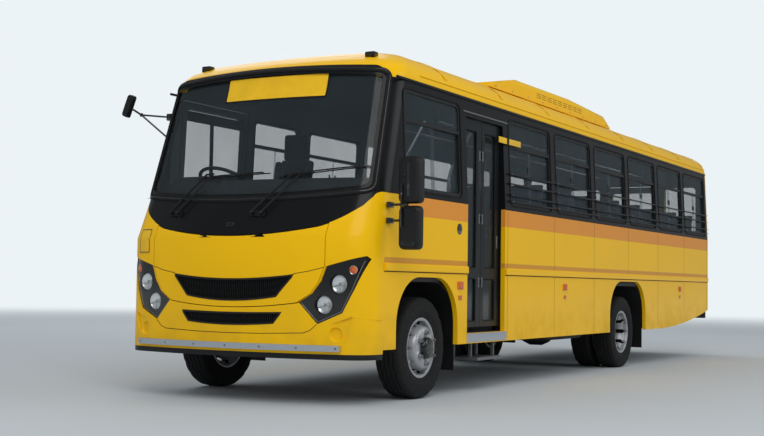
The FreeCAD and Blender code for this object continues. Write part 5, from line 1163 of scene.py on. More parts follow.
def mirrorHead(solid, x, z, upper, values):
    # A hollow shell of rounded sections with the glass sunk into its back.
    front, back = values["front"], values["back"]
    middle = Vector(((x[0] + x[1]) / 2, 0, (z[0] + z[1]) / 2))
    half = Vector(((x[1] - x[0]) / 2, 0, (z[1] - z[0]) / 2))

    def ring(share, y, radius):
        width, height = half.x * share, half.z - half.x * (1 - share)
        corners = [Vector((middle.x + across * width, y + axleY, middle.z + up * height))
                   for across, up in ((-1, -1), (1, -1), (1, 1), (-1, 1))]
        return bend(corners, radius, 5, True)

    rows = [ring(0.50, front, 0.030), ring(0.72, front + 0.003, 0.034), ring(0.90, front + 0.014, 0.040),
            ring(0.985, front + 0.034, 0.044), ring(1.0, front + 0.055, 0.044), ring(0.99, back, 0.042),
            ring(0.93, back, 0.038), ring(0.91, back - 0.010, 0.036)]
    solid.grid(rows, 0, (False, True), True)
    glass = [ring(0.905, back - 0.0095, 0.036), ring(0.905, back - 0.0075, 0.036), ring(0.88, back - 0.0065, 0.034)]
    solid.grid(glass, 1, (False, True), True)
    if upper:
        face = front + axleY
        solid.box((middle.x - 0.011, face - 0.001, z[0] + 0.05), (middle.x + 0.011, face + 0.012, z[1] - 0.05),
                  0.004, 2)
        knob = Vector((values["rodX"], face + 0.002, 1.700))
        solid.lathe(knob, (0, -1, 0), [(-0.01, 0), (-0.01, 0.017), (0.004, 0.016), (0.010, 0.010), (0.011, 0)], 0, 16)
    else:
        rim = [ring(0.80, front + 0.004, 0.032), ring(0.80, front - 0.002, 0.032), ring(0.72, front - 0.002, 0.030),
               ring(0.70, front + 0.004, 0.030)]
        solid.grid(rim, 0, (True, True))
        face = [ring(0.70, front + 0.002, 0.030), ring(0.40, front - 0.0005, 0.020), ring(0.40, front + 0.010, 0.020)]
        solid.grid(face, 3, (False, True), True)


def smallMirror(solid, values):
    # Rounded sections along the depth of the head, turned about its middle.
    centre, elbow = place(*values["small"]), place(*values["elbow"])
    turn = Matrix.Translation(centre) @ Matrix.Rotation(math.radians(values["tilt"]), 4, "Y")
    rows = []
    for share, y in ((0.55, -0.028), (0.80, -0.025), (0.96, -0.014), (1.0, 0.004), (1.0, 0.022), (0.93, 0.025),
                     (0.90, 0.019)):
        half, height = 0.033 * share, 0.096 - 0.033 * (1 - share)
        corners = [Vector((-half, y, -height)), Vector((half, y, -height)), Vector((half, y, height)),
                   Vector((-half, y, height))]
        rows.append([turn @ point for point in bend(corners, 0.020, 4, True)])
    solid.grid(rows, 0, (False, True), True)
    face = [Vector((-0.028, 0.0195, -0.089)), Vector((0.028, 0.0195, -0.089)), Vector((0.028, 0.0195, 0.089)),
            Vector((-0.028, 0.0195, 0.089))]
    solid.plate([turn @ point for point in bend(face, 0.016, 4, True)], (0, 0.002, 0), 1)
    solid.tube([elbow, centre + Vector((0.020, 0.010, -0.020)), centre], 0.0085, 2, 12)
    solid.lathe(elbow, (0, 0, 1), [(-0.014, 0), (-0.014, 0.014), (0.014, 0.014), (0.014, 0)], 2, 14)
    for height in values["pads"]:
        foot = onSide(-1, -0.560, height)
        solid.box((-1.108, foot.y - 0.028, height - 0.030), (-1.062, foot.y + 0.028, height + 0.030), 0.006, 2)
        solid.tube([(-1.080, foot.y, height), elbow], 0.0080, 2, 12)


def makeMirrors(values):
    solid = Solid()
    rodX, rodY = values["rodX"], values["rodY"] + axleY
    inner, outer = 1.1254, 1.159
    clamp = [(-0.020, 0), (-0.020, 0.017), (-0.017, 0.019), (0.017, 0.019), (0.020, 0.017), (0.020, 0)]
    screw = [(-0.002, 0), (-0.002, 0.007), (0.004, 0.006), (0.005, 0)]
    knuckle = [(-0.013, 0), (-0.009, 0.010), (0, 0.014), (0.009, 0.010), (0.013, 0)]
    solid.tube([(rodX, rodY, values["low"]), (rodX, rodY, values["high"])], values["rod"], 2, 14)
    for height in values["arms"]:
        start = Vector((1.155, rodY + 0.016, height))
        solid.tube(bend([start, (1.215, start.y - 0.008, height), (rodX, rodY, height)], 0.02), 0.010, 2, 12)
        solid.box((inner, -0.760 + axleY, height - 0.022), (outer, -0.690 + axleY, height + 0.022), 0.006, 2)
        solid.lathe((rodX, rodY, height), (0, 0, 1), clamp, 2, 18)
        for y in (-0.745, -0.705):
            solid.lathe((outer, y + axleY, height), (1, 0, 0), screw, 2, 6)
    for (inside, outside, low, high), upper in zip(values["heads"], (True, False)):
        mirrorHead(solid, (inside, outside), (low, high), upper, values)
    smallMirror(solid, values)
    front = values["front"] + axleY - 0.011
    stay = [(rodX, rodY, 1.300), (rodX - 0.012, front, 1.320), (rodX - 0.012, front, 1.640)]
    solid.tube(bend(stay, 0.02), 0.0075, 2, 10)
    solid.lathe((rodX - 0.012, front, 1.560), (0, 0, 1), knuckle, 2, 16)
    made = solid.done("mirrorSets", ["trimBlack", "mirrorFace", "gloss", "housingBlack"])
    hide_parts("mirrors")


makeMirrors(mirrors)
print("mirrors made")

# Tyres: zigzag grooves round the tread, notched shoulders and ringed sidewalls.
tyreForm = {"radius": 0.402, "steps": 126, "zigzag": 0.0036, "notch": 0.0055, "treads": 8, "mark": 0.312,
            "profile": [(0.0140, 0.0), (0.0165, -0.010), (0.0215, -0.010), (0.0240, 0.0), (0.0530, -0.001),
                        (0.0555, -0.011), (0.0605, -0.011), (0.0630, -0.002), (0.0900, -0.005), (0.1010, -0.011),
                        (0.1075, -0.024), (0.1095, -0.036), (0.1150, -0.055), (0.1178, -0.082), (0.1176, -0.100),
                        (0.1180, -0.102), (0.1178, -0.107), (0.1160, -0.112), (0.1080, -0.138), (0.1030, -0.147),
                        (0.1020, -0.153), (0.0960, -0.160), (0.0940, -0.1635)]}


def makeTyres(node, centres, values):
    solid = Solid()
    half, treads = values["profile"], values["treads"]
    steps = values["steps"]
    centreY = rearAxleY if "rear" in node else axleY
    mark, wear = values["mark"], [(-0.002, 0), (-0.002, 0.008), (0.0006, 0.007), (0.001, 0)]
    for x in centres:
        rows = []
        for step in range(steps):
            turn = 2 * math.pi * step / steps
            shift = values["zigzag"] * (1 if step % 6 < 3 else -1)
            cut = values["notch"] if step % 6 in (0, 1) else 0
            ring, mirrored = [], []
            for index, (along, drop) in enumerate(half):
                aside = shift if index < treads else 0
                drop -= cut if treads < index < treads + 4 else 0
                ring.append((along + aside, drop))
                mirrored.append((-along + aside, drop))
            points = []
            for along, drop in mirrored[::-1] + ring:
                radius = values["radius"] + drop
                points.append((x + along, centreY + radius * math.sin(turn), axleZ + radius * math.cos(turn)))
            rows.append(points)
        solid.grid(rows, 0, (True, True))
        for end in (1, -1):
            for angle in (40, 220):
                turn = math.radians(angle)
                spot = Vector((x + end * 0.1165, centreY + mark * math.sin(turn), axleZ + mark * math.cos(turn)))
                solid.lathe(spot, (end, 0, 0), wear, 0, 8)
    made = solid.done(node + "Form", ["tyreRubber"], bodyNames[node], 50)
    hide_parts(node)


for side, name in ((1, "left"), (-1, "right")):
    makeTyres("tyre_front_" + name, [side * 0.940], tyreForm)
    makeTyres("tyres_rear_" + name, [side * 0.944, side * 0.676], tyreForm)
print("tyres made")

# Wheels: the discs with a dark hub cap, hexagon nuts on their studs and a valve.
studs = {"circle": 0.122, "angles": [60 * index + 30 for index in range(6)], "cap": 0.0855, "bolts": 0.048}
wheelForms = {"wheel_front_": {"y": axleY, "face": 1.0745, "nut": 0.025, "rim": 1.0215, "hub": 1.114},
              "wheels_rear_": {"y": rearAxleY, "face": 0.8105, "nut": 0.0415, "rim": 1.0255, "hub": 0.960}}


def makeWheel(node, side, values):
    centre = Vector((0, values["y"], axleZ))
    face, hub = values["face"], values["hub"]

    def spotAt(x, reach, turn):
        return Vector((side * x, centre.y + reach * math.cos(turn), centre.z + reach * math.sin(turn)))

    def hubOrDisc(middle):
        reach = math.hypot(middle.y - centre.y, middle.z - centre.z)
        return 1 if reach < studs["cap"] and abs(middle.x) > face - 0.002 else 0

    parted(node, ["wheelSilver", "housingBlack"], hubOrDisc, 30)
    spots = [spotAt(face, studs["circle"], math.radians(angle)) for angle in studs["angles"]]
    fasten(node + "Nuts", [(spot, (side, 0, 0)) for spot in spots],
           dict(hexNut, Depth=values["nut"], **{"Stud Depth": values["nut"] + 0.010}), "zinc", bodyNames[node])
    trim = Solid()
    valve = Vector((side * (values["rim"] - 0.012), centre.y + 0.178, centre.z + 0.097))
    trim.tube([valve, valve + Vector((side * 0.028, 0, 0))], 0.0042, 0, 8)
    trim.lathe((side * hub, centre.y, centre.z), (side, 0, 0),
               [(-0.004, 0), (-0.004, 0.062), (-0.001, 0.060), (0.0006, 0.052), (0.0008, 0)], 0, 32)
    for index in range(8):
        trim.lathe(spotAt(hub - 0.0005, studs["bolts"], math.pi * index / 4), (side, 0, 0),
                   [(-0.001, 0), (-0.001, 0.0055), (0.003, 0.005), (0.003, 0)], 1, 6)
    trim.done(node + "Trim", ["housingBlack", "zinc"], bodyNames[node])


for side, name in ((1, "left"), (-1, "right")):
    for node, values in wheelForms.items():
        makeWheel(node + name, side, values)
print("wheels made")

# Window gaskets round every opening, with screws at the guard bars' feet.
bay = {"first": 1.566, "pitch": 1.146, "length": 1.010, "count": 6, "sill": 1.630, "head": 2.415, "corner": 0.075,
       "guards": (1.665, 1.725, 1.825, 1.914)}
gasket = barForm(0.016, 0.007, 0.003)


def sideLoop(side, start, end, low, high, radius, out=0.001):
    flat = rounded((start, end), (low, high), radius)
    return [(onSide(side, point.x, point.y, out), sideWay(side, point.y)) for point in flat]


windows = [(bay["first"] + index * bay["pitch"], bay["first"] + index * bay["pitch"] + bay["length"])
           for index in range(bay["count"])]
loops = []
for side, extra in ((1, (-0.450, 0.550)), (-1, (0.620, 1.400))):
    for start, end in windows + [extra]:
        loops.append(sideLoop(side, start - 0.004, end + 0.004, bay["sill"] - 0.004, bay["head"] + 0.004,
                              bay["corner"]))
mould("windowGaskets", loops, gasket, "sealRubber", "root", True)
posts = []
for side in (1, -1):
    for start, end in windows:
        for z in bay["guards"]:
            for y in (start - 0.020, end + 0.020):
                posts.append((onSide(side, y, z, 0.0355), (side, 0, 0)))
fasten("guardScrews", posts, dict(capScrew, Radius=0.0065, Depth=0.004), "zinc")

# Catches on the sliding panes.
catches = Solid()
for side in (1, -1):
    for start, end in windows:
        middle = (start + end) / 2
        for y in (middle - 0.045, middle + 0.045):
            spot = onSide(side, y, 1.990, -0.0115 if y < middle else -0.0235)
            catches.block(spot, (0.005, 0.011, 0.028), 0.003)
catches.done("paneCatches", ["trimBlack"])

# Side panels: rivet rows beside the pillars' joints, drip moulding, sill band, badge plate and reflectors.
panelJoints = {"first": 1.50, "pitch": bay["pitch"], "count": 7, "foot": 0.44, "rearFrom": 6.2, "rearFoot": 0.62,
               "arch": (4.95, 0.66), "archFoot": 1.00, "heights": (1.0, 1.40, 1.575), "rivets": 0.05, "top": 1.57,
               "rails": {1: 1.03, -1: 0.97}}
markerPlaces = (0.520, 2.930, 7.030)


def makePanelJoints(values):
    joints, rivets = [], []
    archY, archReach = values["arch"]
    for side in (1, -1):
        for y in (values["first"] + values["pitch"] * index for index in range(values["count"])):
            low = values["foot"] if y < values["rearFrom"] else values["rearFoot"]
            if abs(y - archY) < archReach:
                low = values["archFoot"]
            heights = [low] + [z for z in values["heights"] if z > low + 0.01]
            joints.append([(onSide(side, y, z, 0.0002), (side, 0, 0)) for z in heights])
            for step in range(24):
                z = low + 0.03 + step * values["rivets"]
                if z < values["top"] and abs(z - values["rails"][side]) > 0.036:
                    rivets.append((onSide(side, y + 0.016, z, 0.0), (side, 0, 0)))
    mould("panelJoints", joints, barForm(0.0030, 0.0012, 0.0004), "sealRubber")
    fasten("panelRivets", rivets, rivet, "sideYellow")


makePanelJoints(panelJoints)
waistRuns = [(1, -0.776, 0.650), (1, 1.450, 8.396), (-1, -0.776, -0.444), (-1, 0.524, 8.396)]
sideForms = {"waist": barForm(0.004, 0.0016, 0.0005),
             "drip": barForm(0.012, 0.014, 0.004),
             "sill": barForm(0.075, 0.003, 0.001)}
mould("waistJoints", [sideLine(*run, 1.5845, 0.0003) for run in waistRuns], sideForms["waist"], "sealRubber")
mould("dripMoulding", [sideLine(1, 0.60, 1.53, 2.372, 0.006)], sideForms["drip"], "zinc")
mould("doorSillBand", [sideLine(1, 0.660, 1.480, 0.460, 0.0012)], sideForms["sill"], "silverStrip")
trim = Solid()
for side in (1, -1):
    for y in markerPlaces:
        spot = onSide(side, y, 0.800)
        trim.box((spot.x, spot.y - 0.028, 0.782), (spot.x + side * 0.008, spot.y + 0.028, 0.818), 0.003, 0)
spot = onSide(1, 0.500, 1.367)
trim.lathe(spot, (1, 0, 0), [(-0.001, 0), (-0.001, 0.047), (0.003, 0.046), (0.0045, 0.040), (0.005, 0)], 1, 36)
trim.done("sideReflectors", ["lampAmber", "gloss"])

# The arm folded against the side behind the entrance.
foldedArm = {"y": (1.300, 1.790), "z": (2.178, 2.205, 2.232), "hinge": 1.500}
arm = Solid()
low, middle, high = foldedArm["z"]
start, end = (onSide(1, y, middle, 0.020) for y in foldedArm["y"])
arm.box((start.x - 0.004, start.y, low), (start.x + 0.004, end.y, high), 0.003)
hinge = onSide(1, foldedArm["hinge"], middle, 0.010)
arm.box((hinge.x - 0.009, hinge.y - 0.022, low - 0.006), (hinge.x + 0.016, hinge.y + 0.022, high + 0.006), 0.003, 1)
arm.tube([(hinge.x + 0.012, hinge.y - 0.026, z) for z in (low - 0.018, high + 0.018)], 0.006, 1, 12)
arm.done("foldedArm", ["signYellow", "trimBlack"])
print("side trim made")

# Entrance door: gaskets in the panes' openings, hinge plates, edge strips, pull and kick plates on each leaf.
door = {"outer": 1.063, "inner": 1.029, "glass": [(0.592, 0.965), (1.050, 2.238)],
        "front": {"edges": (0.667, 1.047), "panes": (0.725, 0.958)},
        "rear": {"edges": (1.053, 1.433), "panes": (1.102, 1.353)},
        "hinges": (0.900, 1.450, 2.000), "hingeY": 1.050, "low": 0.547, "high": 2.328}


def makeLeaf(name, values):
    body = bodyNames["door_leaf_" + name]
    leaf = values[name]
    inner, outer, bottom, top = values["inner"], values["outer"], values["low"], values["high"]
    start, end = leaf["panes"]
    loops = []
    for low, high in values["glass"]:
        for x, way in ((outer - 0.0040, 1), (inner + 0.0035, -1)):
            flat = rounded((start + 0.004, end - 0.004), (low + 0.004, high - 0.004), 0.018, 4)
            loops.append([(place(x, point.x, point.y), (way, 0, 0)) for point in flat])
    mould("leafGaskets" + name, loops, barForm(0.012, 0.007, 0.0025), "sealRubber", body, True)
    trim = Solid()
    y0, y1 = leaf["edges"][0] + axleY, leaf["edges"][1] + axleY
    trim.box((inner - 0.0012, y0 + 0.030, bottom + 0.030), (inner + 0.0004, y1 - 0.030, bottom + 0.042), 0, 1)
    trim.box((inner - 0.0012, y0 + 0.050, 0.975), (inner + 0.0004, y1 - 0.050, 1.040), 0.0006, 1)
    side = -1 if name == "front" else 1
    hinge = values["hingeY"] + axleY
    for height in values["hinges"]:
        y = hinge + side * 0.030
        trim.box((outer - 0.0004, y - 0.014, height - 0.012), (outer + 0.0008, y + 0.014, height + 0.072), 0.0003, 1)
    free = y0 + 0.0015 if name == "front" else y1 - 0.0015
    trim.box((inner + 0.006, free - 0.0030, bottom + 0.006), (outer - 0.006, free + 0.0030, top - 0.006), 0.002)
    if name == "rear":
        trim.box((outer - 0.0002, y1 - 0.052, 1.235), (outer + 0.0006, y1 - 0.026, 1.345), 0.0002, 1)
    trim.done("leafTrim" + name, ["sealRubber", "steelGrey"], body)
    screws = [(Vector((outer + 0.0006, hinge + side * 0.036, height + rise)), (1, 0, 0))
              for height in values["hinges"] for rise in (0.0, 0.030, 0.060)]
    fasten("leafScrews" + name, screws, dict(capScrew, Radius=0.0035, Depth=0.0006, **{"Stud Depth": 0.0008}),
           "zinc", body)
    parted("door_leaf_" + name, ["doorPaint"], None, 30)


for name in ("front", "rear"):
    makeLeaf(name, door)

# Grab rails by the entrance and along the ceiling, with end flanges.
grabs = {"posts": (0.590, 1.505), "foot": 0.520, "bend": 1.92, "top": (0.740, 2.30), "ceiling": (0.30, 2.46),
         "run": (1.70, 8.20), "hangers": [1.80 + index * 1.05 for index in range(7)]}


def makeGrabRails(values):
    rails = Solid()
    x, (topX, topZ) = values["foot"], values["top"]
    for y in values["posts"]:
        line = bend([place(x, y, cabinFloor), place(x, y, values["bend"]), place(topX, y, topZ)], 0.10)
        rails.tube(line, 0.0155, 0, 14)
        rails.lathe(place(x, y, cabinFloor), (0, 0, 1),
                    [(0, 0), (0, 0.034), (0.004, 0.032), (0.006, 0.020), (0.006, 0)], 0, 20)
    for side in (1, -1):
        x, z = side * values["ceiling"][0], values["ceiling"][1]
        rails.tube([place(x, y, z) for y in values["run"]], 0.0145, 0, 12)
        for y in values["hangers"]:
            rails.tube([place(x, y, z), place(x, y, 2.80)], 0.009, 0, 10)
    rails.done("grabRails", ["chrome"])


makeGrabRails(grabs)
print("entrance made")

# Padded seats: a slightly small box of cloth for each pad is puffed up by pressure, held to a cap and smoothed.
cloth = {"cell": 0.034, "pressure": 4.0, "frames": 20}


def clothBox(size):
    solid = Solid()
    counts = [max(2, round(length / cloth["cell"])) for length in size]
    for axis in range(3):
        first, second = (axis + 1) % 3, (axis + 2) % 3
        for end in (-0.5, 0.5):
            rows = []
            for step in range(counts[first] + 1):
                row = [Vector((0, 0, 0)) for _ in range(counts[second] + 1)]
                for index, spot in enumerate(row):
                    spot[axis] = end * size[axis]
                    spot[first] = (step / counts[first] - 0.5) * size[first]
                    spot[second] = (index / counts[second] - 0.5) * size[second]
                rows.append(row)
            solid.grid(rows)
    bmesh.ops.remove_doubles(solid.mesh, verts=solid.mesh.verts, dist=0.0001)
    bmesh.ops.recalc_face_normals(solid.mesh, faces=solid.mesh.faces)
    return meshOf(solid.mesh, "clothBox")


def puffed(size, cap, seams=()):
    # The finished pad about the origin, and the line round its upper rim; seams are places along x.
    mesh = clothBox(size)
    start = [vertex.co.copy() for vertex in mesh.vertices]
    holder = linked("clothPad", mesh)
    modifier = holder.modifiers.new("cloth", "CLOTH")
    modifier.settings.use_pressure = True
    modifier.settings.uniform_pressure_force = cloth["pressure"]
    modifier.settings.effector_weights.gravity = 0
    for step in range(1, cloth["frames"] + 1):
        scene.frame_set(step)
    swollen = baked(holder)
    scene.frame_set(1)
    holder.modifiers.clear()
    for vertex, first, last in zip(mesh.vertices, start, swollen.vertices):
        move = last.co - first
        vertex.co = first + move * min(1, cap / max(move.length, 1e-6))
    for vertex, first in zip(mesh.vertices, start):
        for seam in seams:
            near = math.exp(-((first.x - seam) / (0.5 * cloth["cell"])) ** 2)
            vertex.co.z -= math.copysign(0.35 * cap * near, first.z)
    rim = [vertex.index for vertex, first in zip(mesh.vertices, start)
           if first.z > 0.499 * size[2] and (abs(first.x) > 0.499 * size[0] or abs(first.y) > 0.499 * size[1])]
    rim.sort(key=lambda index: math.atan2(start[index].y / size[1], start[index].x / size[0]))
    smooth = holder.modifiers.new("smooth", "SUBSURF")
    smooth.levels = 1
    smooth.render_levels = 1
    made = baked(holder)
    line = [made.vertices[index].co.copy() for index in rim]
    bpy.data.objects.remove(holder)
    return made, line


def layPad(name, made, matrix, finish):
    mesh = made.copy()
    mesh.transform(matrix)
    mesh.shade_smooth()
    item = addObject(name, mesh, [finish], "root")
    return item


bench = {"width": 0.850, "inner": 0.223, "front": 2.010, "pitch": 0.770, "rows": 8,
         "cushion": (0.826, 0.392, 0.050), "cushionAt": (0.213, 0.4285), "cushionTilt": -2.9,
         "back": (0.826, 0.048, 0.492), "backAt": (0.4675, 0.680), "backTilt": -8.1, "cap": 0.013}


def makeBenches(values):
    cushion, cushionLine = puffed(values["cushion"], values["cap"], (-0.138, 0.138))
    lying = (values["back"][0], values["back"][2], values["back"][1])
    back, backLine = puffed(lying, values["cap"], (-0.138, 0.138))
    welts, frames = Solid(), Solid()
    flanges = []
    floorZ = cabinFloor
    places = [(side, values["front"] + row * values["pitch"]) for row in range(values["rows"]) for side in (1, -1)]
    places.append((-1, values["front"] - values["pitch"]))
    for index, (side, y) in enumerate(places):
        middle = side * (values["inner"] + values["width"] / 2)
        seat = (Matrix.Translation(place(middle, y + values["cushionAt"][0], floorZ + values["cushionAt"][1]))
                @ Matrix.Rotation(math.radians(values["cushionTilt"]), 4, "X"))
        upright = (Matrix.Translation(place(middle, y + values["backAt"][0], floorZ + values["backAt"][1]))
                   @ Matrix.Rotation(math.radians(90 + values["backTilt"]), 4, "X"))
        pads = [layPad("benchCushion%02d" % index, cushion, seat, "benchCloth"),
                layPad("benchBack%02d" % index, back, upright, "benchCloth")]
        for pad in pads:
            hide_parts("passenger_seats")
        for line, matrix in ((cushionLine, seat), (backLine, upright)):
            welts.tube([matrix @ point for point in line], 0.0038, 0, 6, True)
        for x in (middle - 0.315, middle + 0.315):
            legs = bend([place(x, y + 0.080, floorZ), place(x, y + 0.080, floorZ + 0.388),
                         place(x, y + 0.370, floorZ + 0.372), place(x, y + 0.370, floorZ)], 0.045)
            frames.tube(legs, 0.0155, 0, 12)
            for along in (0.080, 0.370):
                spot = place(x, y + along, floorZ)
                frames.box(spot + Vector((-0.030, -0.024, 0)), spot + Vector((0.030, 0.024, 0.005)), 0.002, 0)
                flanges += [(spot + Vector((reach, 0, 0.006)), (0, 0, 1)) for reach in (-0.022, 0.022)]
            frames.tube([place(x, y + 0.350, floorZ + 0.376), place(x, y + 0.452, floorZ + 0.400),
                         place(x, y + 0.470, floorZ + 0.520)], 0.010, 0, 10)
        for along in (0.085, 0.365):
            spot = place(middle, y + along, floorZ + 0.386 - 0.03 * along)
            frames.box(spot - Vector((0.400, 0.014, 0.012)), spot + Vector((0.400, 0.014, 0.010)), 0.003, 0)
        aisle = side * (values["inner"] + 0.045)
        loop = bend([place(aisle, y + 0.497, floorZ + 0.700), place(aisle, y + 0.532, floorZ + 0.712),
                     place(aisle, y + 0.546, floorZ + 0.838), place(aisle, y + 0.515, floorZ + 0.852)], 0.018)
        if index not in (len(places) - 3, len(places) - 2):
            frames.tube(loop, 0.0085, 1, 10)
    welts.done("benchWelts", ["sealRubber"])
    frames.done("benchFrames", ["steelGrey", "trimBlack"])
    fasten("benchBolts", flanges, dict(capScrew, Radius=0.006, Depth=0.004), "zinc")


makeBenches(bench)
print("benches made")

# Driver's seat: cushion with side bolsters, tilted back, head restraint on two posts and a bellows base.
driver = {"x": -0.560, "cap": 0.014,
          "pads": [("Cushion", (0.300, 0.420, 0.062), (0, 0.280, 1.4480), 0),
                   ("LeftRoll", (0.062, 0.430, 0.072), (0.183, 0.280, 1.4500), 0),
                   ("RightRoll", (0.062, 0.430, 0.072), (-0.183, 0.280, 1.4500), 0),
                   ("Back", (0.270, 0.520, 0.052), (0, 0.5250, 1.7600), 80.2),
                   ("BackLeftRoll", (0.056, 0.500, 0.062), (0.165, 0.5220, 1.7500), 80.2),
                   ("BackRightRoll", (0.056, 0.500, 0.062), (-0.165, 0.5220, 1.7500), 80.2),
                   ("HeadPad", (0.240, 0.236, 0.052), (0, 0.5890, 2.1250), 88)]}


def makeDriverSeat(values):
    x = values["x"]
    welts = Solid()
    for name, size, (across, y, z), tilt in values["pads"]:
        made, line = puffed(size, values["cap"])
        matrix = Matrix.Translation(place(x + across, y, z)) @ Matrix.Rotation(math.radians(tilt), 4, "X")
        pad = layPad("driver" + name, made, matrix, "driverCloth")
        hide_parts("driver_seat")
        welts.tube([matrix @ point for point in line], 0.0034, 0, 6, True)
    rows = []
    for step in range(17):
        z = 0.984 + step * 0.0245
        bulge = 0.150 if step % 2 else 0.132
        corners = [place(x + across * bulge, 0.290 + along * bulge, z)
                   for across, along in ((1, 1), (-1, 1), (-1, -1), (1, -1))]
        rows.append(bend(corners, 0.04, 4, True))
    base = Solid()
    base.grid(rows, 0, (False, True), True)
    base.box(place(x - 0.180, 0.090, 1.378), place(x + 0.180, 0.490, 1.406), 0.006, 1)
    base.box(place(x - 0.160, 0.120, cabinFloor), place(x + 0.160, 0.460, 0.990), 0.003, 1)
    for across in (-0.050, 0.050):
        base.tube([place(x + across, 0.556, 2.000), place(x + across, 0.585, 2.110)], 0.0065, 2, 12)
    handle = ((0.190, 0.10), (0.190, 0.060), (-0.190, 0.060), (-0.190, 0.10))
    base.tube([place(x + across, y, 1.392) for across, y in handle], 0.006, 2, 10)
    shell = base.done("driverSeatBase", ["sealRubber", "trimBlack", "chrome"])
    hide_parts("driver_seat")
    welts.done("driverWelts", ["trimBlack"])


makeDriverSeat(driver)

# Steering wheel, dashboard face, pedals and the engine cover's clips.
dashboard = {"face": -0.7375, "x": -0.560, "hub": (-0.480, 1.720), "vents": (-0.880, 0.250, 0.700),
             "gauges": ((-0.075, 1.345, 0.050), (0.075, 1.345, 0.050), (0, 1.270, 0.024), (-0.130, 1.275, 0.022),
                        (0.130, 1.275, 0.022)),
             "pedals": ((-0.130, 0.055), (0.020, 0.055), (0.130, 0.040)), "pedalY": (-0.715, -0.700),
             "pedalZ": (1.060, 1.165), "clips": ((0.335, -0.50), (0.335, 0.20), (-0.335, -0.50), (-0.335, 0.20))}


def makeDashboard(values):
    hub = place(values["x"], *values["hub"])

    def wheelPart(middle):
        return 1 if (middle - hub).length < 0.050 else 0

    parted("steering_column", ["trimBlack", "gloss"], wheelPart, 40)
    parted("dashboard", ["dashGrey"], None, 35)
    trim = Solid()
    x, face = values["x"], values["face"]
    for across, height, radius in values["gauges"]:
        spot = place(x + across, face + (height - 1.18) * 0.077, height)
        ring = [(-0.004, 0), (-0.004, radius + 0.006), (0.006, radius + 0.005), (0.009, radius),
                (0.004, radius - 0.003), (0.003, 0)]
        knob = [(0.003, 0), (0.003, 0.18 * radius), (0.008, 0.14 * radius), (0.008, 0)]
        needle = Vector((0.62 * radius, 0.0055, 0.30 * radius))
        trim.lathe(spot, (0, 1, 0), ring, 0, 28)
        trim.tube([spot + Vector((0, 0.0055, 0)), spot + needle], 0.0011, 1, 6)
        trim.lathe(spot, (0, 1, 0), knob, 0, 12)
    for column in range(5):
        for row in range(2):
            spot = place(x + 0.235 + column * 0.034, face + 0.010, 1.300 + row * 0.052)
            trim.box(spot - Vector((0.013, 0.003, 0.020)), spot + Vector((0.013, 0.011, 0.020)), 0.004, 2)
    for centre in values["vents"]:
        for blade in range(5):
            spot = place(centre, face + 0.011, 1.320 + blade * 0.018)
            trim.box(spot - Vector((0.055, 0.006, 0.003)), spot + Vector((0.055, 0.005, 0.003)), 0.001, 2)
    (front, back), (foot, head) = values["pedalY"], values["pedalZ"]
    for across, size in values["pedals"]:
        low = place(x + across - size / 2, front, foot)
        trim.box(low, place(x + across + size / 2, back, head), 0.005, 2)
        trim.tube([low + Vector((size / 2, 0.004, 0.090)), low + Vector((size / 2, -0.030, 0.120))], 0.007, 3, 10)
    for across, y in values["clips"]:
        trim.block(place(across, y, 1.120), (0.012, 0.030, 0.045), 0.005, 3)
    trim.done("dashTrim", ["gloss", "signYellow", "trimBlack", "zinc"])


makeDashboard(dashboard)
print("driver's place made")

# Lamps: dark marker lamps on the roof, amber ones along the sides, three round lamps in rings at each rear corner.
lamps = {"roof": (0.794, -0.433), "roofZ": (2.600, 2.650), "tail": (0.850, (1.060, 1.190, 1.320)),
         "tailRadius": 0.058, "splits": (1.125, 1.255), "marker": (0.050, 0.868, 0.932, 0.011)}


def lampColour(middle):
    if middle.z > 2.5:
        return 3
    if middle.y < 4.5:
        return 0
    low, high = lamps["splits"]
    return 1 if middle.z < low else 0 if middle.z < high else 2


def makeLamps(values):
    parted("body_lamps", ["lampAmber", "lampRed", "lampWhite", "housingBlack"], lampColour, 35)
    rings = Solid()
    x, heights = values["tail"]
    radius = values["tailRadius"]
    ring = [(-0.0080, radius + 0.0005), (-0.0080, radius + 0.016), (0.0040, radius + 0.014), (0.0080, radius + 0.006),
            (0.0060, radius + 0.0005)]
    reach, bottom, top, proud = values["marker"]
    for side in (1, -1):
        for z in heights:
            rings.lathe(onRear(side * x, z), rearWay(side * x, z), ring, 0, 40)
        across, y = values["roof"]
        foot, head = values["roofZ"]
        rings.box(place(side * across - 0.058, y - 0.048, foot), place(side * across + 0.058, y + 0.048, head),
                  0.012, 1, 3)
        for marker in markerPlaces:
            low, high = onSide(side, marker - reach, bottom), onSide(side, marker + reach, top)
            rings.box(low, (low.x + side * proud, high.y, high.z), 0.0050, 2)
    rings.done("lampRings", ["chrome", "trimBlack", "lampAmber"])


makeLamps(lamps)

# Roof unit: slots along its sides and bolts round its foot; and the roof's seams with their rivets.
pod = {"half": 0.760, "front": 1.860, "slotFrom": 3.050, "slots": 9, "slotGap": 0.150,
       "slotSize": (0.004, 0.120, 0.006), "slotHeights": (2.845, 2.865, 2.885), "bolts": 9, "boltGap": 0.40,
       "boltHeight": 2.815}
roofSeams = {"places": [0.350 + 1.146 * index for index in range(8)], "reach": 1.06,
             "form": barForm(0.045, 0.003, 0.0012)}


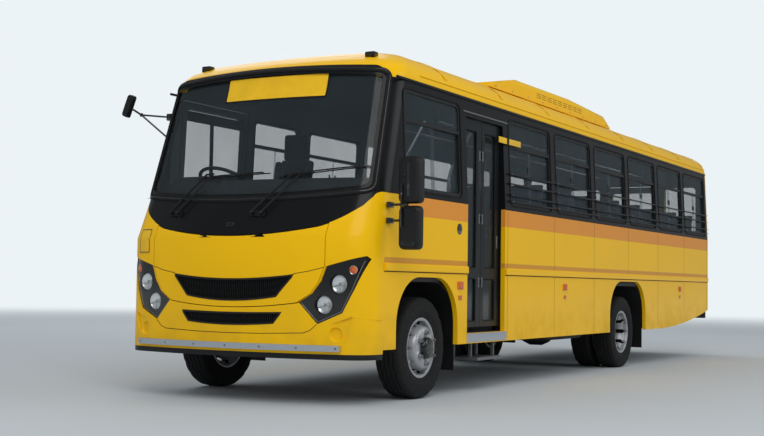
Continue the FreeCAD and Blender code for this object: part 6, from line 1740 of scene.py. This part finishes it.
def roofLine(y, out, count=40):
    # A line across the roof at one place along the bus, from gutter to gutter.
    line = []
    crown = skin["gutter"] + skin["rise"]
    for step in range(count + 1):
        turn = math.pi * step / count
        x = roofSeams["reach"] * math.cos(turn)
        share = min(abs(x) / skin["gutterHalf"], 1)
        z = skin["gutter"] + skin["rise"] * (1 - share ** skin["curve"]) ** (1 / skin["curve"])
        way = skinNormal(x if abs(x) > 0.001 else 0.001, 3.0, min(z, crown - 0.004), 0.003)
        line.append((place(x, y, z) + way * out, way))
    return line


def makeRoof(values):
    parted("roof_unit", ["roofYellow"], None, 30)
    mould("roofSeams", [roofLine(y, 0.0015) for y in roofSeams["places"]], roofSeams["form"], "roofYellow")
    heads = []
    for y in roofSeams["places"]:
        for offset in (-0.014, 0.014):
            line = spread([spot for spot, _ in roofLine(y + offset, 0.003, 24)], 0.075)
            ways = roofLine(y + offset, 0.0, 24)
            for spot in line[1:-1]:
                near = min(ways, key=lambda item: (item[0] - spot).length)
                heads.append((spot, near[1]))
    fasten("roofRivets", heads, rivet, "roofYellow")
    slots, bolts = Solid(), []
    deep, long, tall = values["slotSize"]
    for side in (1, -1):
        for index in range(values["slots"]):
            y = values["slotFrom"] + index * values["slotGap"]
            for z in values["slotHeights"]:
                low = place(side * (values["half"] - 0.003), y, z)
                slots.box(low, low + Vector((side * deep, long, tall)), 0.002)
        for index in range(values["bolts"]):
            y = values["front"] + 0.16 + index * values["boltGap"]
            bolts.append((place(side * values["half"], y, values["boltHeight"]), (side, 0, 0)))
    slots.done("podSlots", ["grilleBlack"])
    fasten("podBolts", bolts, dict(capScrew, Radius=0.008, Depth=0.004), "zinc")


makeRoof(pod)
print("roof made")

# Driver's door: gasket, the window's upright and upper bar, recessed pull and the leaf's edge strips.
cabDoor = {"window": (-0.373, 0.453, 1.640, 2.385), "leaf": (-0.433, 0.513, 1.017, 2.443),
           "bars": (((0.010, 0.050), (1.650, 2.300)), ((-0.360, 0.440), (2.285, 2.375)))}


def makeDriverDoor(values):
    body = bodyNames["driver_door"]
    smoothShell("driver_door", ["driverDoorPaint", "lining"])
    start, end, low, high = values["window"]
    mould("cabDoorGasket", [sideLoop(-1, start - 0.004, end + 0.004, low - 0.004, high + 0.004, 0.070)], gasket,
          "sealRubber", body, True)
    pull = Solid()
    spot = onSide(-1, 0.400, 1.390)
    pull.box((spot.x - 0.004, spot.y - 0.075, 1.360), (spot.x + 0.002, spot.y + 0.055, 1.425), 0.003, 0)
    grip = bend([spot + Vector((across, along, 0.004)) for across, along in
                 ((-0.002, -0.062), (-0.024, -0.050), (-0.024, 0.020), (-0.002, 0.032))], 0.012)
    pull.tube(grip, 0.0075, 0, 12, False, 1.5)
    pull.lathe(spot + Vector((0, 0.044, 0.002)), (-1, 0, 0), [(0, 0), (0, 0.0085), (0.006, 0.0075), (0.006, 0)],
               1, 16)
    for y, z in values["bars"]:
        pull.box(onSide(-1, y[0], z[0], -0.020), onSide(-1, y[1], z[1], -0.006), 0.003)
    start, end, low, high = values["leaf"]
    for height in (low + 0.012, high - 0.030):
        first, last = onSide(-1, start + 0.020, height, 0.0006), onSide(-1, end - 0.020, height, 0.0006)
        pull.box((first.x - 0.0014, first.y, height), (first.x + 0.0005, last.y, height + 0.010), 0.0004)
    pull.done("cabDoorPull", ["trimBlack", "chrome"], body)


makeDriverDoor(cabDoor)

# Rear end: gaskets, the exit door's handle, a blank plate place with its lamp, and red reflectors on the bumper.
tail = {"side": (0.480, 0.930, 1.630, 2.330), "door": (0.298, 1.630, 2.270), "handle": (0.285, 1.440),
        "plate": (-0.260, 0.260, 0.760, 0.880), "reflector": (0.700, 8.630, 0.570)}


def rearLoop(low, high, start, end, radius, out=0.001):
    flat = rounded((start, end), (low, high), radius)
    return [(onRear(point.x, point.y, out), rearWay(point.x, point.y)) for point in flat]


def makeRear(values):
    start, end, low, high = values["side"]
    spans = ((start, end + 0.004), (-end - 0.004, -start))
    mould("rearGaskets", [rearLoop(low - 0.004, high + 0.004, *span, 0.060) for span in spans], gasket, "sealRubber",
          "root", True)
    body = bodyNames["rear_door"]
    half, low, high = values["door"]
    mould("rearDoorGasket", [rearLoop(low - 0.004, high + 0.004, -half - 0.004, half + 0.004, 0.060)], gasket,
          "sealRubber", body, True)
    smoothShell("rear_door", ["bodyYellow", "lining"])
    pull = Solid()
    spot = onRear(*values["handle"], 0.0005)
    pull.box(spot + Vector((-0.050, -0.001, -0.060)), spot + Vector((0.050, 0.006, 0.060)), 0.004, 0)
    pull.lathe(spot, (0, 1, 0), [(0.004, 0), (0.004, 0.018), (0.016, 0.016), (0.016, 0)], 1, 20)
    pull.tube([spot + Vector((0, 0.012, 0)), spot + Vector((-0.090, 0.014, 0))], 0.0085, 1, 12)
    pull.done("rearDoorPull", ["trimBlack", "chrome"], body)
    trim = Solid()
    x0, x1, z0, z1 = values["plate"]
    spot = onRear((x0 + x1) / 2, z0)
    trim.box((x0, spot.y - 0.004, z0), (x1, spot.y + 0.004, z1), 0.003, 0)
    screw = [(0, 0), (0, 0.006), (0.003, 0.005), (0.003, 0)]
    for x in (x0 + 0.05, x1 - 0.05):
        trim.lathe((x, spot.y + 0.004, (z0 + z1) / 2), (0, 1, 0), screw, 1, 12)
    trim.box((-0.045, spot.y - 0.004, z1 + 0.006), (0.045, spot.y + 0.020, z1 + 0.026), 0.005, 1)
    trim.done("rearTrim", ["housingBlack", "trimBlack"])
    parted("rear_bumper", ["trimBlack"], None, 40)
    pads = Solid()
    x, y, z = values["reflector"]
    for side in (1, -1):
        spot = place(side * x, y, z)
        pads.box(spot + Vector((-0.090, -0.003, -0.040)), spot + Vector((0.090, 0.001, 0.040)), 0.001, 0)
    pads.done("bumperPads", ["lampRed"])


makeRear(tail)
print("rear made")

# Under the body: smooth copies of the running gear, with dampers, a line along the frame and its clips.
for node, key, angle in (("exhaust", "steelGrey", 35), ("propeller_shaft", "chassisBlack", 40),
                         ("leaf_springs", "castIron", 30), ("front_axle", "castIron", 35),
                         ("rear_axle", "castIron", 40), ("knuckle_left", "castIron", 35),
                         ("knuckle_right", "castIron", 35), ("engine_block", "castIron", 35),
                         ("tank_and_battery", "chassisBlack", 35), ("tow_lugs", "chassisBlack", 35)):
    parted(node, [key], None, angle)


underBody = {"damper": ((0.440, -0.055, 0.440), (0.405, -0.190, 0.760)),
             "line": [(-0.300, -0.60, 0.640), (-0.300, 1.80, 0.640), (-0.315, 3.60, 0.655), (-0.315, 4.60, 0.655)],
             "clips": [(-0.310, y, 0.648) for y in (0.20, 1.00, 1.80, 2.60, 3.40, 4.20)]}


def makeUnderside(values):
    under = Solid()
    for side in (1, -1):
        for wheelY in (axleY, rearAxleY):
            foot, top = (Vector((side * x, wheelY + y, z)) for x, y, z in values["damper"])
            under.tube([foot, foot.lerp(top, 0.55)], 0.030, 0, 18)
            under.tube([foot.lerp(top, 0.50), top], 0.036, 1, 18)
            under.tube([foot.lerp(top, 0.95), top], 0.014, 0, 12)
            for end in (foot, top):
                under.tube([end - Vector((0.022, 0, 0)), end + Vector((0.022, 0, 0))], 0.020, 1, 14)
    under.tube(bend([place(*spot) for spot in values["line"]], 0.20), 0.008, 1, 8)
    for spot in values["clips"]:
        under.box(place(*spot) - Vector((0.016, 0.010, 0.014)), place(*spot) + Vector((0.010, 0.010, 0.014)), 0.002)
    under.done("underTrim", ["zinc", "chassisBlack"])


makeUnderside(underBody)
print("underside made")

# Finishes of the pieces that show as they were modelled.
plainFinish = {
    "chassisBlack": ["chassis_frame"],
    "steelGrey": ["entrance_steps"],
    "floorRubber": ["cabin_floor"],
    "blackPaint": ["door_frame"],
    "sideGlass": ["side_glass", "driver_door_glass", "rear_door_glass"],
    "doorGlass": ["door_glass_front", "door_glass_rear"],
    "trimBlack": ["window_frames", "window_guards", "wheel_arch_liners"],
}
for key, names in plainFinish.items():
    for name in names:
        nodes[name].data.materials.clear()
        nodes[name].data.materials.append(finishes[key])

# Studio: a pale floor that fades into the backdrop, a large soft key light and two fills.
studio = {"sky": (0.86, 0.92, 0.95, 1), "skyPower": 0.62, "mirrorPower": 0.30, "seen": tone(236, 243, 246),
          "floor": tone(196, 200, 204), "fade": (14.0, 34.0),
          "lights": [("keyLight", (7, -12, 11), 9, 800, (1, 0.98, 0.95)),
                     ("sideLight", (16, 4, 9), 9, 520, (0.95, 0.98, 1)),
                     ("backLight", (-12, 10, 12), 10, 500, (0.96, 0.98, 1))]}


def makeStudio(values):
    scene.view_settings.view_transform = "Standard"
    world = bpy.data.worlds.new("studio")
    scene.world = world
    world.use_nodes = True
    world.node_tree.nodes.clear()
    graph = Graph(world.node_tree)
    path = graph.node("ShaderNodeLightPath")
    lit = graph.node("ShaderNodeBackground", {}, {0: values["sky"], 1: values["skyPower"]})
    mirrored = graph.node("ShaderNodeBackground", {}, {0: values["sky"], 1: values["mirrorPower"]})
    seen = graph.node("ShaderNodeBackground", {}, {0: values["seen"], 1: 1.0})
    first = graph.node("ShaderNodeMixShader", {},
                       {0: path.outputs["Is Glossy Ray"], 1: lit.outputs[0], 2: mirrored.outputs[0]})
    second = graph.node("ShaderNodeMixShader", {},
                        {0: path.outputs["Is Camera Ray"], 1: first.outputs[0], 2: seen.outputs[0]})
    graph.node("ShaderNodeOutputWorld", {}, {0: second.outputs[0]})
    for name, where, size, power, colour in values["lights"]:
        lamp = bpy.data.lights.new(name, "AREA")
        lamp.size = size
        lamp.energy = power
        lamp.color = colour
        item = linked(name, lamp)
        item.location = where
        item.rotation_euler = (Vector((0, 0, 1.2)) - Vector(where)).to_track_quat("-Z", "Y").to_euler()
    mesh = bpy.data.meshes.new("floor")
    reach = 120
    mesh.from_pydata([(-reach, -reach, 0), (reach, -reach, 0), (reach, reach, 0), (-reach, reach, 0)], [],
                     [(0, 1, 2, 3)])
    floor = linked("floor", mesh)
    finish = Finish({"Roughness": 0.9, "Specular IOR Level": 0.1}, "studioFloor")
    cloud = finish.noise(0.4, 4)
    finish.wear({"Base Color": finish.mix(cloud, shade(values["floor"], 0.97), shade(values["floor"], 1.02))})
    glow = finish.node("ShaderNodeEmission", {}, {"Color": values["seen"]})
    far = finish.rise((finish.x * finish.x + finish.y * finish.y) ** 0.5, *values["fade"])
    both = finish.node("ShaderNodeMixShader", {}, {0: far, 1: finish.shader.outputs[0], 2: glow.outputs[0]})
    finish.tree.links.new(both.outputs[0], finish.out.inputs[0])
    mesh.materials.append(finish.material)


makeStudio(studio)
print("studio set")
